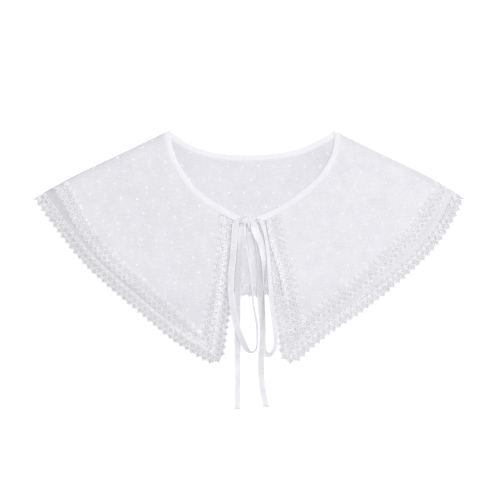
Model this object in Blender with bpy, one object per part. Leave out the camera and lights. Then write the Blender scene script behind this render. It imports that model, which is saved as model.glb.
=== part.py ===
"""Lace cape collar with a tied neck, laid out flat with its face up.

Metres, +Z up, resting on z = 0. The origin is the middle of the collar's outline on the surface it lies on.
+Y points to the back of the neck, and +X to the right as the collar is seen from above. The back lies
underneath, and the two fronts lie on it, folded over at the shoulders. They ease down to the surface where
they pass the back's hem. Lace is sewn all round the hem and the centre-front edges, a second run of it lies
on each front, and the neck binding runs on into two tapes tied in a bow.
"""

import math
from collections import namedtuple

import bmesh
import bpy
import numpy as np

MM = 0.001

# Walls, and the small gap that pieces keep to one another at a seam or where one lies on another.
CLOTH = 1.0 * MM
GAP = 0.3 * MM
BINDING_WIDTH = 7.0 * MM
FRONT_BINDING_WALL = 1.3 * MM
TAPE_WIDTH = 7.0 * MM
TAPE_WALL = 1.0 * MM

# One repeat of the lace. Reaches are measured outwards from its heading, the straight edge that is sewn on.
Lace = namedtuple("Lace", "pitch width valley hole_near hole_middle hole_far hole_half_width spacing_reach")
LACE = Lace(
    pitch=7.2 * MM,
    width=12.0 * MM,
    valley=8.4 * MM,
    hole_near=1.8 * MM,
    hole_middle=4.1 * MM,
    hole_far=6.5 * MM,
    hole_half_width=2.25 * MM,
    spacing_reach=8.0 * MM,
)

# The back's hem is an arc: its middle on the Y axis, and its radius out to the points of the lace.
BACK_ARC_MIDDLE_Y = 254.0 * MM
BACK_ARC_RADIUS = 307.2 * MM

# The fronts lie one wall and one gap up where the back is under them, and ease down past its lace.
FRONT_LIFT = CLOTH + GAP
DROP_START = 2.0 * MM
DROP_RUN = 32.0 * MM

# How far along a strip's end its cross direction is turned to lie in the seam that it ends at.
MITRE_RUN = 12.0 * MM
SAMPLE_STEP = 1.0 * MM
CORNER_SAMPLES = 24

# Faces along and across each panel, and the length of one face of a binding or a tape.
FRONT_FACES = (26, 13)
BACK_FACES = (40, 7)
BINDING_STEP = 6.0 * MM
TAPE_STEP = 9.0 * MM

# The knot: its middle, its size, and the rounding of its edges.
KNOT_MIDDLE = (-0.2 * MM, 28.1 * MM, 3.7 * MM)
KNOT_SIZE = (15.0 * MM, 8.0 * MM, 4.8 * MM)
KNOT_ROUNDING = 1.7 * MM

# Edges of each front as it lies. Columns: x and y in millimetres.
# binding: middle line of the neck binding, shoulder to knot. hem: cloth edge, shoulder fold to tip.
# centre: cloth edge, tip to neck. band_hem and band_centre: heading of the applied lace, in the same order.
# fold: shoulder fold, from the neck hole out to the last point of the lace.
Front = namedtuple("Front", "side binding hem centre band_hem band_centre fold edging_end band_end")
LEFT = Front(
    side=-1,
    binding=(
        (-89.5, 124.0),
        (-83.8, 99.1),
        (-73.2, 78.6),
        (-54.8, 55.9),
        (-30.5, 39.7),
        (-16.4, 31.8),
        (-8.5, 28.8),
    ),
    hem=(
        (-221.6, 58.2),
        (-196.7, 23.6),
        (-169.7, -10.0),
        (-138.2, -39.3),
        (-105.2, -67.0),
        (-71.7, -94.0),
        (-39.3, -114.0),
    ),
    centre=((-39.3, -114.0), (-35.6, -88.8), (-31.6, -59.8), (-28.5, -30.6), (-25.6, -1.4), (-25.4, 32.4)),
    band_hem=(
        (-199.9, 70.7),
        (-190.5, 57.0),
        (-175.3, 27.1),
        (-158.0, 4.4),
        (-138.7, -16.0),
        (-114.6, -36.4),
        (-90.4, -59.6),
        (-52.6, -94.2),
    ),
    band_centre=((-52.6, -94.2), (-45.1, -68.5), (-39.0, -39.6), (-33.0, -7.4), (-28.8, 33.2)),
    fold=((-85.9, 125.9), (-145.0, 97.4), (-199.6, 70.9), (-231.6, 52.6)),
    edging_end=(0.88, -0.47),
    band_end=(0.88, -0.47),
)
RIGHT = Front(
    side=1,
    binding=(
        (95.4, 123.6),
        (93.3, 104.5),
        (86.2, 87.2),
        (72.8, 69.9),
        (52.2, 53.2),
        (32.7, 39.9),
        (18.1, 32.7),
        (8.1, 28.6),
    ),
    hem=(
        (221.1, 59.5),
        (201.0, 20.0),
        (174.0, -11.0),
        (143.0, -38.2),
        (110.6, -63.1),
        (76.6, -86.5),
        (45.4, -113.6),
    ),
    centre=((45.4, -113.6), (41.8, -86.2), (37.3, -58.6), (31.9, -28.9), (23.4, -0.2), (17.8, 28.0)),
    band_hem=(
        (203.4, 70.3),
        (194.6, 50.7),
        (177.4, 26.5),
        (152.4, -1.8),
        (124.6, -27.2),
        (102.2, -44.7),
        (82.5, -59.7),
        (57.5, -82.8),
    ),
    band_centre=((57.5, -82.8), (52.4, -54.3), (46.0, -28.0), (38.2, -1.5), (31.5, 34.8)),
    fold=((91.0, 125.7), (145.0, 99.2), (202.5, 70.8), (231.6, 53.3)),
    edging_end=(-0.84, -0.54),
    band_end=(-0.90, -0.43),
)
BACK_BINDING = (
    (-89.5, 124.0),
    (-68.3, 109.2),
    (-40.2, 98.9),
    (-18.6, 96.3),
    (1.9, 95.9),
    (32.2, 97.8),
    (58.1, 104.2),
    (78.6, 113.7),
    (95.4, 123.6),
)

# Middle line of each stretch of tape. Columns: x, y and z in millimetres, and the tape's tilt in degrees,
# where 0 lies flat and 90 stands on its edge.
LEFT_LOOP = (
    (-14.3, 26.6, 4.4, 0),
    (-15.4, 17.0, 4.4, 0),
    (-16.1, 7.3, 4.4, 0),
    (-18.0, -15.4, 4.4, 0),
    (-19.5, -30.5, 3.6, 0),
    (-19.8, -44.6, 3.2, 0),
    (-18.4, -60.8, 3.1, 0),
    (-16.2, -74.8, 2.7, 0),
    (-13.6, -85.1, 2.4, 0),
    (-9.3, -96.4, 2.5, 5),
    (-4.6, -107.2, 2.6, 20),
    (-0.6, -112.5, 3.4, 50),
    (3.2, -113.9, 3.8, 70),
    (6.6, -111.8, 3.9, 72),
    (8.3, -107.2, 3.9, 72),
    (8.7, -98.6, 3.9, 68),
    (8.6, -86.7, 3.9, 65),
    (6.3, -72.6, 4.2, 65),
    (3.9, -54.3, 4.8, 65),
    (2.3, -31.6, 4.8, 65),
    (-1.6, -5.7, 5.3, 68),
    (-3.9, 10.5, 7.2, 72),
    (-5.0, 23.5, 6.6, 70),
)
LEFT_TAIL = (
    (-6.9, 23.5, 1.8, 0),
    (-8.5, 12.7, 1.9, -3),
    (-9.2, 2.5, 2.9, -20),
    (-9.7, -10.0, 3.3, -24),
    (-10.7, -20.0, 3.1, -20),
    (-11.3, -32.0, 2.3, -4),
    (-12.0, -46.7, 1.9, 0),
    (-12.5, -56.0, 1.7, 0),
    (-12.5, -67.0, 0.9, 0),
    (-12.5, -77.0, 0.8, 0),
    (-12.5, -106.1, 0.8, 0),
    (-12.4, -138.5, 0.8, 0),
    (-12.5, -175.5, 0.8, 0),
)
RIGHT_LOOP = (
    (14.5, 25.1, 6.6, 35),
    (17.1, 14.9, 7.0, 50),
    (19.5, -0.3, 7.0, 50),
    (20.5, -8.9, 6.8, 50),
    (21.6, -24.0, 6.0, 48),
    (22.8, -42.4, 5.5, 42),
    (24.2, -58.6, 5.3, 40),
    (25.3, -69.4, 5.1, 40),
    (26.8, -81.3, 4.5, 38),
    (28.4, -94.2, 4.0, 42),
    (28.3, -106.1, 3.7, 50),
    (25.5, -113.5, 3.5, 48),
    (20.8, -117.0, 2.7, 35),
    (17.0, -114.5, 2.0, 20),
    (15.3, -107.5, 1.5, 10),
    (14.6, -97.0, 1.1, 4),
    (14.4, -84.5, 0.9, 0),
    (12.6, -66.2, 1.0, 0),
    (12.0, -55.4, 1.8, 0),
    (12.2, -44.6, 1.9, 0),
    (12.1, -25.1, 2.0, 0),
    (11.8, -15.0, 3.0, 0),
    (11.0, -5.7, 3.2, 0),
    (9.5, 5.0, 3.2, 0),
    (7.2, 14.0, 3.2, 0),
    (5.4, 23.5, 3.2, 0),
)
RIGHT_TAIL = (
    (5.2, 23.5, 4.5, 0),
    (6.8, 17.0, 4.6, 0),
    (12.1, 5.1, 4.8, 4),
    (14.6, -6.8, 5.8, 20),
    (15.9, -16.5, 6.3, 45),
    (15.9, -30.5, 6.3, 65),
    (15.9, -44.6, 6.3, 88),
    (15.6, -61.8, 5.8, 115),
    (15.2, -79.1, 4.8, 140),
    (14.7, -98.6, 4.3, 165),
    (13.8, -112.0, 4.7, 176),
    (13.1, -120.0, 3.9, 178),
    (13.0, -130.0, 2.4, 180),
    (13.3, -139.0, 1.1, 180),
    (13.9, -149.0, 0.8, 180),
    (16.3, -163.4, 0.8, 180),
    (18.7, -173.0, 0.8, 180),
)

# Finishes. Columns: base colour, roughness.
Finish = namedtuple("Finish", "colour roughness")
VOILE = Finish((0.80, 0.81, 0.83), 0.85)
LACE_THREAD = Finish((0.78, 0.79, 0.80), 0.80)
TAPE = Finish((0.86, 0.86, 0.88), 0.60)

# A line on the surface: points along it, and at each the direction across it, outwards.
Run = namedtuple("Run", "points across")


def spline(table, step):
    """Points evenly spaced along the natural cubic spline through a table's rows, about one step apart."""
    rows = np.asarray(table, float)
    marks = np.concatenate([[0.0], np.cumsum(np.linalg.norm(np.diff(rows[:, :2], axis=0), axis=1))])
    spans = np.diff(marks)
    count = len(rows)
    system = np.eye(count)
    target = np.zeros_like(rows)
    for row in range(1, count - 1):
        before, after = spans[row - 1], spans[row]
        system[row, row - 1 : row + 2] = (before, 2 * (before + after), after)
        target[row] = 6 * ((rows[row + 1] - rows[row]) / after - (rows[row] - rows[row - 1]) / before)
    bend = np.linalg.solve(system, target)
    at = np.linspace(0.0, marks[-1], max(2, round(marks[-1] / step) + 1))
    part = np.clip(np.searchsorted(marks, at, side="right") - 1, 0, count - 2)
    span = spans[part][:, None]
    ahead = (at - marks[part])[:, None]
    share = ahead / span
    chord = rows[part] * (1 - share) + rows[part + 1] * share
    return chord - ahead * (span - ahead) / 6 * ((2 - share) * bend[part] + (1 + share) * bend[part + 1])


def line(table):
    """A smooth line in metres through a table of millimetres."""
    return spline(np.asarray(table) * MM, SAMPLE_STEP)


def lengths(points):
    """Distance along a line at each of its points."""
    return np.concatenate([[0.0], np.cumsum(np.linalg.norm(np.diff(points, axis=0), axis=1))])


def even(points, faces):
    """The line as faces + 1 points, evenly spaced."""
    marks = lengths(points)
    at = np.linspace(0.0, marks[-1], faces + 1)
    return np.column_stack([np.interp(at, marks, column) for column in points.T])


def run_along(points, side):
    """A run whose across direction is square to it: to its left for side 1, to its right for side -1."""
    along = np.gradient(points, axis=0)
    along /= np.linalg.norm(along, axis=1)[:, None]
    return Run(points, side * np.column_stack([-along[:, 1], along[:, 0]]))


def mitred(run, start=None, end=None):
    """The run with its across direction turned, near an end, into the seam that the strip ends at."""
    across = run.across.copy()
    marks = lengths(run.points)
    for seam, away in ((start, marks), (end, marks[-1] - marks)):
        if seam is None:
            continue
        seam = np.asarray(seam) / np.linalg.norm(seam)
        square = run.across[np.argmin(away)]
        full = seam / (seam @ square) - square
        share = np.clip(1 - away / MITRE_RUN, 0, 1)
        across += share[:, None] * full
    return Run(run.points, across)


def joined(first, second):
    """Two runs that meet at a corner, with the across direction turned evenly round that corner."""
    start = math.atan2(first.across[-1][1], first.across[-1][0])
    turn = math.atan2(second.across[0][1], second.across[0][0]) - start
    turn = (turn + math.pi) % (2 * math.pi) - math.pi
    angles = start + turn * np.linspace(0, 1, CORNER_SAMPLES)[1:-1]
    fan = np.column_stack([np.cos(angles), np.sin(angles)])
    corner = np.repeat(first.points[-1:], len(fan), axis=0)
    return Run(
        np.concatenate([first.points, corner, second.points]),
        np.concatenate([first.across, fan, second.across]),
    )


def place(run, at, reach):
    """Points on a run at fractional places along it, moved across it by a reach."""
    whole = np.arange(len(run.points))
    base = np.column_stack([np.interp(at, whole, column) for column in run.points.T])
    across = np.column_stack([np.interp(at, whole, column) for column in run.across.T])
    return base + reach * across


def offset(run, reach):
    """The whole line of a run, moved across it."""
    return run.points + reach * run.across


def back_reach(plan):
    """How far points lie beyond the back's lace, measured outwards from its arc."""
    return np.hypot(plan[:, 0], plan[:, 1] - BACK_ARC_MIDDLE_Y) - BACK_ARC_RADIUS


def front_floor(plan):
    """Height of the fronts' underside: lifted over the back, then down in a soft S to the surface."""
    share = np.clip((back_reach(plan) - DROP_START) / DROP_RUN, 0, 1)
    return FRONT_LIFT * (1 - share * share * (3 - 2 * share))


def surface_floor(plan):
    """Height of the back's underside: it lies on the surface."""
    return np.zeros(len(plan))


def band_floor(plan):
    """Height of what lies on a front: one wall and one gap above the front's underside."""
    return front_floor(plan) + CLOTH + GAP


def make_material(name, finish):
    """A plain Principled material in the finish's colour."""
    material = bpy.data.materials.new(name)
    material.use_nodes = True
    shader = material.node_tree.nodes["Principled BSDF"]
    shader.inputs["Base Color"].default_value = (*finish.colour, 1.0)
    shader.inputs["Roughness"].default_value = finish.roughness
    shader.inputs["Metallic"].default_value = 0.0
    material.diffuse_color = (*finish.colour, 1.0)
    return material


def add_object(name, mesh, finish):
    """Puts a mesh in the scene as one named piece with its own material."""
    mesh.materials.append(make_material(name, finish))
    piece = bpy.data.objects.new(name, mesh)
    bpy.context.scene.collection.objects.link(piece)
    return piece


def add_wall(name, plan, faces, floor, wall, finish):
    """A wall of cloth over a plan of faces: an underside, a face above it, and sides along open edges."""
    plan = np.asarray(plan)
    area = sum(signed_area(plan[list(face)]) for face in faces)
    if area < 0:
        faces = [face[::-1] for face in faces]
    count = len(plan)
    heights = floor(plan)
    under = np.column_stack([plan, heights])
    upper = np.column_stack([plan, heights + wall])
    edges = {(face[i - 1], face[i]) for face in faces for i in range(len(face))}
    sides = [(a, b, b + count, a + count) for a, b in sorted(edges) if (b, a) not in edges]
    tops = [tuple(corner + count for corner in face) for face in faces]
    bottoms = [face[::-1] for face in faces]
    mesh = bpy.data.meshes.new(name)
    mesh.from_pydata(np.concatenate([under, upper]).tolist(), [], tops + bottoms + sides)
    return add_object(name, mesh, finish)


def signed_area(corners):
    """Area of a flat face, positive when its corners run anticlockwise."""
    x, y = corners[:, 0], corners[:, 1]
    return 0.5 * float(np.sum(x * np.roll(y, -1) - np.roll(x, -1) * y))


def patch(near, far, start, end):
    """A grid filled in between four edges that meet at their ends, each edge's pull blended across it."""
    u = np.linspace(0, 1, len(near))[:, None, None]
    v = np.linspace(0, 1, len(start))[None, :, None]
    across = (1 - v) * near[:, None, :] + v * far[:, None, :]
    along = (1 - u) * start[None, :, :] + u * end[None, :, :]
    corners = (
        (1 - u) * (1 - v) * near[0] + u * (1 - v) * near[-1] + (1 - u) * v * far[0] + u * v * far[-1]
    )
    return across + along - corners


def grid_faces(columns, rows):
    """Four-cornered faces over a grid of points, column after column."""
    return [
        (c * rows + r, (c + 1) * rows + r, (c + 1) * rows + r + 1, c * rows + r + 1)
        for c in range(columns - 1)
        for r in range(rows - 1)
    ]


def add_panel(name, near, far, start, end, faces, floor):
    """A panel of voile between its four edges."""
    along, down = faces
    grid = patch(even(near, along), even(far, along), even(start, down), even(end, down))
    return add_wall(name, grid.reshape(-1, 2), grid_faces(along + 1, down + 1), floor, CLOTH, VOILE)


def add_strip(name, run, inner, outer, floor, wall):
    """A plain strip along a run, from one reach to another."""
    steps = round(lengths(run.points)[-1] / BINDING_STEP)
    at = np.linspace(0, len(run.points) - 1, steps + 1)
    plan = np.stack([place(run, at, inner), place(run, at, outer)], axis=1).reshape(-1, 2)
    return add_wall(name, plan, grid_faces(steps + 1, 2), floor, wall, TAPE)


def add_lace(name, run, start_reach, floor):
    """A run of lace: whole repeats, each with one open mesh behind the dip between two pointed scallops."""
    marks = lengths(offset(run, start_reach + LACE.spacing_reach))
    count = round(marks[-1] / LACE.pitch)
    pitch = marks[-1] / count
    whole = np.arange(len(marks))

    def row(shift, reach, number):
        at = np.interp((np.arange(number) + shift) * pitch, marks, whole)
        return place(run, at, start_reach + reach)

    half = LACE.hole_half_width / pitch
    rows = (
        row(0, 0, count + 1),
        row(0, LACE.width, count + 1),
        row(0.5, LACE.valley, count),
        row(0.5, LACE.hole_near, count),
        row(0.5 + half, LACE.hole_middle, count),
        row(0.5, LACE.hole_far, count),
        row(0.5 - half, LACE.hole_middle, count),
    )
    first = np.concatenate([[0], np.cumsum([len(points) for points in rows])])
    faces = []
    for cell in range(count):
        heading, point = first[0] + cell, first[1] + cell
        dip, near, ahead, far, behind = (first[2:7] + cell).tolist()
        next_heading, next_point = heading + 1, point + 1
        faces += [
            (heading, next_heading, near),
            (next_heading, ahead, near),
            (next_heading, next_point, ahead),
            (next_point, far, ahead),
            (next_point, dip, far),
            (dip, point, far),
            (point, behind, far),
            (point, heading, behind),
            (heading, near, behind),
        ]
    return add_wall(name, np.concatenate(rows), faces, floor, CLOTH, LACE_THREAD)


def add_tape(name, table):
    """A stretch of flat tape: a thin rectangle carried along its route, turned by the tilt."""
    rows = spline(table, TAPE_STEP / MM)
    middle = rows[:, :3] * MM
    along = np.gradient(middle, axis=0)
    along /= np.linalg.norm(along, axis=1)[:, None]
    level = np.cross(along, (0.0, 0.0, 1.0))
    level /= np.linalg.norm(level, axis=1)[:, None]
    up = np.cross(level, along)
    tilt = np.radians(rows[:, 3])[:, None]
    across = np.cos(tilt) * level + np.sin(tilt) * up
    through = np.cross(along, across)
    half_width, half_wall = TAPE_WIDTH / 2, TAPE_WALL / 2
    corners = ((-1, -1), (1, -1), (1, 1), (-1, 1))
    rings = np.stack([middle + a * half_width * across + t * half_wall * through for a, t in corners], axis=1)
    count = len(rings)
    faces = [
        (4 * i + k, 4 * i + (k + 1) % 4, 4 * i + 4 + (k + 1) % 4, 4 * i + 4 + k)
        for i in range(count - 1)
        for k in range(4)
    ]
    faces += [(3, 2, 1, 0), tuple(4 * count - 4 + k for k in range(4))]
    mesh = bpy.data.meshes.new(name)
    mesh.from_pydata(rings.reshape(-1, 3).tolist(), [], faces)
    outward = bmesh.new()
    outward.from_mesh(mesh)
    bmesh.ops.recalc_face_normals(outward, faces=outward.faces)
    outward.to_mesh(mesh)
    outward.free()
    return add_object(name, mesh, TAPE)


def add_knot():
    """The knot: a small block with well rounded edges."""
    shape = bmesh.new()
    bmesh.ops.create_cube(shape, size=1.0)
    bmesh.ops.scale(shape, vec=KNOT_SIZE, verts=shape.verts)
    mesh = bpy.data.meshes.new("tie_knot")
    shape.to_mesh(mesh)
    shape.free()
    knot = add_object("tie_knot", mesh, TAPE)
    knot.location = KNOT_MIDDLE
    rounding = knot.modifiers.new("rounded edges", "BEVEL")
    rounding.width = KNOT_ROUNDING
    rounding.segments = 2
    return knot


def between(points, start, end):
    """The stretch of a line between the points of it nearest to two given ones, which become its ends."""
    first = int(np.argmin(np.linalg.norm(points - start, axis=1)))
    last = int(np.argmin(np.linalg.norm(points - end, axis=1)))
    return np.concatenate([[start], points[first + 1 : last], [end]])


def fold_direction(front, place_on_fold):
    """Direction of the shoulder fold, outwards, near one place on it."""
    fold = line(front.fold)
    nearest = int(np.argmin(np.linalg.norm(fold - place_on_fold, axis=1)))
    nearest = min(max(nearest, 1), len(fold) - 2)
    return fold[nearest + 1] - fold[nearest - 1]


def binding_run(table, side, start=None, end=None):
    """The run of a stretch of neck binding along its middle line."""
    return mitred(run_along(line(table), side), start, end)


def add_front(front, label):
    """One front with its stretch of binding, its edging and its applied band."""
    hem, centre = line(front.hem), line(front.centre)
    at_neck = fold_direction(front, np.array(front.fold[0]) * MM)
    at_hem = fold_direction(front, hem[0])
    binding = binding_run(front.binding, front.side, start=at_neck)
    neck = offset(binding, BINDING_WIDTH / 2 + GAP)
    neck = between(neck, neck[0], centre[-1])
    fold = between(line(front.fold), neck[0], hem[0])
    add_panel(f"front_{label}", neck, hem, fold, centre[::-1], FRONT_FACES, front_floor)
    add_strip(
        f"neck_binding_{label}",
        binding,
        -BINDING_WIDTH / 2,
        BINDING_WIDTH / 2,
        front_floor,
        FRONT_BINDING_WALL,
    )
    edge = joined(
        mitred(run_along(hem, front.side), start=at_hem),
        mitred(run_along(centre, front.side), end=front.edging_end),
    )
    add_lace(f"edging_{label}", edge, GAP, front_floor)
    band_hem, band_centre = line(front.band_hem), line(front.band_centre)
    heading = joined(
        mitred(run_along(band_hem, front.side), start=fold_direction(front, band_hem[0])),
        mitred(run_along(band_centre, front.side), end=front.band_end),
    )
    add_lace(f"band_{label}", heading, 0.0, band_floor)


def back_hem(left, right):
    """The back's cloth edge: an arc inside the lace, from the left shoulder fold to the right one."""
    radius = BACK_ARC_RADIUS - LACE.width - GAP
    middle = np.array((0.0, BACK_ARC_MIDDLE_Y))
    corners = []
    for front in (left, right):
        fold = line(front.fold)
        corner = fold[np.argmin(np.abs(np.linalg.norm(fold - middle, axis=1) - radius))]
        corners.append(math.atan2(*(corner - middle)[::-1]) % (2 * math.pi))
    angles = np.linspace(*corners, round(radius * (corners[1] - corners[0]) / SAMPLE_STEP))
    return middle + radius * np.column_stack([np.cos(angles), np.sin(angles)])


def add_back(left, right):
    """The back with its stretch of binding and its edging."""
    hem = back_hem(left, right)
    seams = [fold_direction(front, np.array(front.fold[0]) * MM) for front in (left, right)]
    binding = binding_run(BACK_BINDING, -1, *seams)
    neck = offset(binding, BINDING_WIDTH / 2 + GAP)
    folds = [
        between(line(front.fold), neck[place_in_line], hem[place_in_line])
        for front, place_in_line in ((left, 0), (right, -1))
    ]
    add_panel("back_panel", neck, hem, *folds, BACK_FACES, surface_floor)
    add_strip(
        "neck_binding_back", binding, -BINDING_WIDTH / 2, BINDING_WIDTH / 2, surface_floor, CLOTH
    )
    ends = [fold_direction(front, corner) for front, corner in ((left, hem[0]), (right, hem[-1]))]
    add_lace("edging_back", mitred(run_along(hem, -1), *ends), GAP, surface_floor)


def main():
    for old in list(bpy.data.objects):
        bpy.data.objects.remove(old)
    add_back(LEFT, RIGHT)
    add_front(LEFT, "left")
    add_front(RIGHT, "right")
    add_knot()
    add_tape("tie_left_loop", LEFT_LOOP)
    add_tape("tie_left_tail", LEFT_TAIL)
    add_tape("tie_right_loop", RIGHT_LOOP)
    add_tape("tie_right_tail", RIGHT_TAIL)


main()
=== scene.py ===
"""The looks of a lace cape collar in dotted cotton voile, tied at the neck and laid out flat, face up.

The plan of every piece is worked out from the same edges as the collar's solids, in the same frame: metres,
+Z up, resting on z = 0, with +Y to the back of the neck. Left and right are as seen from above.
"""

import logging
import math
from collections.abc import Callable
from dataclasses import dataclass, field
from enum import Enum

import bpy
import numpy as np
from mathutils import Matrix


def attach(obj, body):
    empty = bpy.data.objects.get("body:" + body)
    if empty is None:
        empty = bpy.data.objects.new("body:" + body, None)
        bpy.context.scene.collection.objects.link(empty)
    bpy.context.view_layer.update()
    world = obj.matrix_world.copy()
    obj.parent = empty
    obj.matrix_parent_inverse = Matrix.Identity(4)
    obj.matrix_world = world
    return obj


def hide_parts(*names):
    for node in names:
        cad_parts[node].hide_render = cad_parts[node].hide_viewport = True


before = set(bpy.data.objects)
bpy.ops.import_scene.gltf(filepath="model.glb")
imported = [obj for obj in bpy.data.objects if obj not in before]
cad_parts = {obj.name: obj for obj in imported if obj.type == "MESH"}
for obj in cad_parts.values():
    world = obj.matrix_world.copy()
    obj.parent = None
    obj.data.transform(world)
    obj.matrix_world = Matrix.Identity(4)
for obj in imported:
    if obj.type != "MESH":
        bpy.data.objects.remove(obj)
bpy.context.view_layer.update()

MM = 0.001
BODY = "root"
# The point attribute that carries the painted tone: mostly painted light and shade.
TONE = "tone"
UV_MAP = "UVMap"
Array = np.ndarray
Socket = bpy.types.NodeSocket
Colour = tuple[float, float, float]
# Gives a height or a tone for each point on the plan.
OverPlan = Callable[[Array], Array]
log = logging.getLogger("lace_collar")

# Sizes shared with the solids.
CLOTH = 1.0 * MM
GAP = 0.3 * MM
BINDING_WIDTH = 7.0 * MM
TAPE_WIDTH = 7.0 * MM
LACE_SPACING_REACH = 8.0 * MM
LACE_WIDTH = 12.0 * MM
BACK_ARC_MIDDLE_Y = 254.0 * MM
BACK_ARC_RADIUS = 307.2 * MM
FRONT_LIFT = CLOTH + GAP
DROP_START = 2.0 * MM
DROP_RUN = 32.0 * MM
MITRE_RUN = 12.0 * MM
SAMPLE_STEP = 1.0 * MM
CORNER_SAMPLES = 24
UNDER_BINDING = 1.2 * MM


class Slot(Enum):
    """The record's material slots."""

    VOILE = "voile"
    LACE = "lace"
    TAPE = "tape"


@dataclass(frozen=True)
class Run:
    """A line on the surface: points along it, and at each the direction across it, outwards."""

    points: Array
    across: Array


@dataclass(frozen=True)
class FrontEdges:
    """The edges of one front as it lies, as rows of x and y in millimetres.

    Binding runs from the shoulder to the knot, hem from the shoulder fold to the tip, centre from the tip to
    the neck, and fold from the neck hole out. The band's two lines are the heading of the applied lace.
    """

    label: str
    side: int
    binding: tuple
    hem: tuple
    centre: tuple
    band_hem: tuple
    band_centre: tuple
    fold: tuple
    edging_end: tuple
    band_end: tuple
    ridge_rise: float


LEFT = FrontEdges(
    label="left",
    side=-1,
    binding=(
        (-89.5, 124.0), (-83.8, 99.1), (-73.2, 78.6), (-54.8, 55.9), (-30.5, 39.7), (-16.4, 31.8),
        (-8.5, 28.8),
    ),
    hem=(
        (-221.6, 58.2), (-196.7, 23.6), (-169.7, -10.0), (-138.2, -39.3), (-105.2, -67.0), (-71.7, -94.0),
        (-39.3, -114.0),
    ),
    centre=((-39.3, -114.0), (-35.6, -88.8), (-31.6, -59.8), (-28.5, -30.6), (-25.6, -1.4), (-25.4, 32.4)),
    band_hem=(
        (-199.9, 70.7), (-190.5, 57.0), (-175.3, 27.1), (-158.0, 4.4), (-138.7, -16.0), (-114.6, -36.4),
        (-90.4, -59.6), (-52.6, -94.2),
    ),
    band_centre=((-52.6, -94.2), (-45.1, -68.5), (-39.0, -39.6), (-33.0, -7.4), (-28.8, 33.2)),
    fold=((-85.9, 125.9), (-145.0, 97.4), (-199.6, 70.9), (-231.6, 52.6)),
    edging_end=(0.88, -0.47),
    band_end=(0.88, -0.47),
    ridge_rise=1.7 * MM,
)
RIGHT = FrontEdges(
    label="right",
    side=1,
    binding=(
        (95.4, 123.6), (93.3, 104.5), (86.2, 87.2), (72.8, 69.9), (52.2, 53.2), (32.7, 39.9),
        (18.1, 32.7), (8.1, 28.6),
    ),
    hem=(
        (221.1, 59.5), (201.0, 20.0), (174.0, -11.0), (143.0, -38.2), (110.6, -63.1), (76.6, -86.5),
        (45.4, -113.6),
    ),
    centre=((45.4, -113.6), (41.8, -86.2), (37.3, -58.6), (31.9, -28.9), (23.4, -0.2), (17.8, 28.0)),
    band_hem=(
        (203.4, 70.3), (194.6, 50.7), (177.4, 26.5), (152.4, -1.8), (124.6, -27.2), (102.2, -44.7),
        (82.5, -59.7), (57.5, -82.8),
    ),
    band_centre=((57.5, -82.8), (52.4, -54.3), (46.0, -28.0), (38.2, -1.5), (31.5, 34.8)),
    fold=((91.0, 125.7), (145.0, 99.2), (202.5, 70.8), (231.6, 53.3)),
    edging_end=(-0.84, -0.54),
    band_end=(-0.90, -0.43),
    ridge_rise=0.35 * MM,
)
BACK_BINDING = (
    (-89.5, 124.0), (-68.3, 109.2), (-40.2, 98.9), (-18.6, 96.3), (1.9, 95.9), (32.2, 97.8),
    (58.1, 104.2), (78.6, 113.7), (95.4, 123.6),
)

# Middle line of each stretch of tape: x, y and z in millimetres, and the tape's tilt in degrees.
LEFT_LOOP = (
    (-14.3, 26.6, 4.4, 0),
    (-15.4, 17.0, 4.4, 0),
    (-16.1, 7.3, 4.4, 0),
    (-18.0, -15.4, 4.4, 0),
    (-19.5, -30.5, 3.6, 0),
    (-19.8, -44.6, 3.2, 0),
    (-18.4, -60.8, 3.1, 0),
    (-16.2, -74.8, 2.7, 0),
    (-13.6, -85.1, 2.4, 0),
    (-9.3, -96.4, 2.5, 5),
    (-4.6, -107.2, 2.6, 20),
    (-0.6, -112.5, 3.4, 50),
    (3.2, -113.9, 3.8, 70),
    (6.6, -111.8, 3.9, 72),
    (8.3, -107.2, 3.9, 72),
    (8.7, -98.6, 3.9, 68),
    (8.6, -86.7, 3.9, 65),
    (6.3, -72.6, 4.2, 65),
    (3.9, -54.3, 4.8, 65),
    (2.3, -31.6, 4.8, 65),
    (-1.6, -5.7, 5.3, 68),
    (-3.9, 10.5, 7.2, 72),
    (-5.0, 23.5, 6.6, 70),
)
LEFT_TAIL = (
    (-6.9, 23.5, 1.8, 0),
    (-8.5, 12.7, 1.9, -3),
    (-9.2, 2.5, 2.9, -20),
    (-9.7, -10.0, 3.3, -24),
    (-10.7, -20.0, 3.1, -20),
    (-11.3, -32.0, 2.3, -4),
    (-12.0, -46.7, 1.9, 0),
    (-12.5, -56.0, 1.7, 0),
    (-12.5, -67.0, 0.9, 0),
    (-12.5, -77.0, 0.8, 0),
    (-12.5, -106.1, 0.8, 0),
    (-12.4, -138.5, 0.8, 0),
    (-12.5, -175.5, 0.8, 0),
)
RIGHT_LOOP = (
    (14.5, 25.1, 6.6, 35),
    (17.1, 14.9, 7.0, 50),
    (19.5, -0.3, 7.0, 50),
    (20.5, -8.9, 6.8, 50),
    (21.6, -24.0, 6.0, 48),
    (22.8, -42.4, 5.5, 42),
    (24.2, -58.6, 5.3, 40),
    (25.3, -69.4, 5.1, 40),
    (26.8, -81.3, 4.5, 38),
    (28.4, -94.2, 4.0, 42),
    (28.3, -106.1, 3.7, 50),
    (25.5, -113.5, 3.5, 48),
    (20.8, -117.0, 2.7, 35),
    (17.0, -114.5, 2.0, 20),
    (15.3, -107.5, 1.5, 10),
    (14.6, -97.0, 1.1, 4),
    (14.4, -84.5, 0.9, 0),
    (12.6, -66.2, 1.0, 0),
    (12.0, -55.4, 1.8, 0),
    (12.2, -44.6, 1.9, 0),
    (12.1, -25.1, 2.0, 0),
    (11.8, -15.0, 3.0, 0),
    (11.0, -5.7, 3.2, 0),
    (9.5, 5.0, 3.2, 0),
    (7.2, 14.0, 3.2, 0),
    (5.4, 23.5, 3.2, 0),
)
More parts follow.
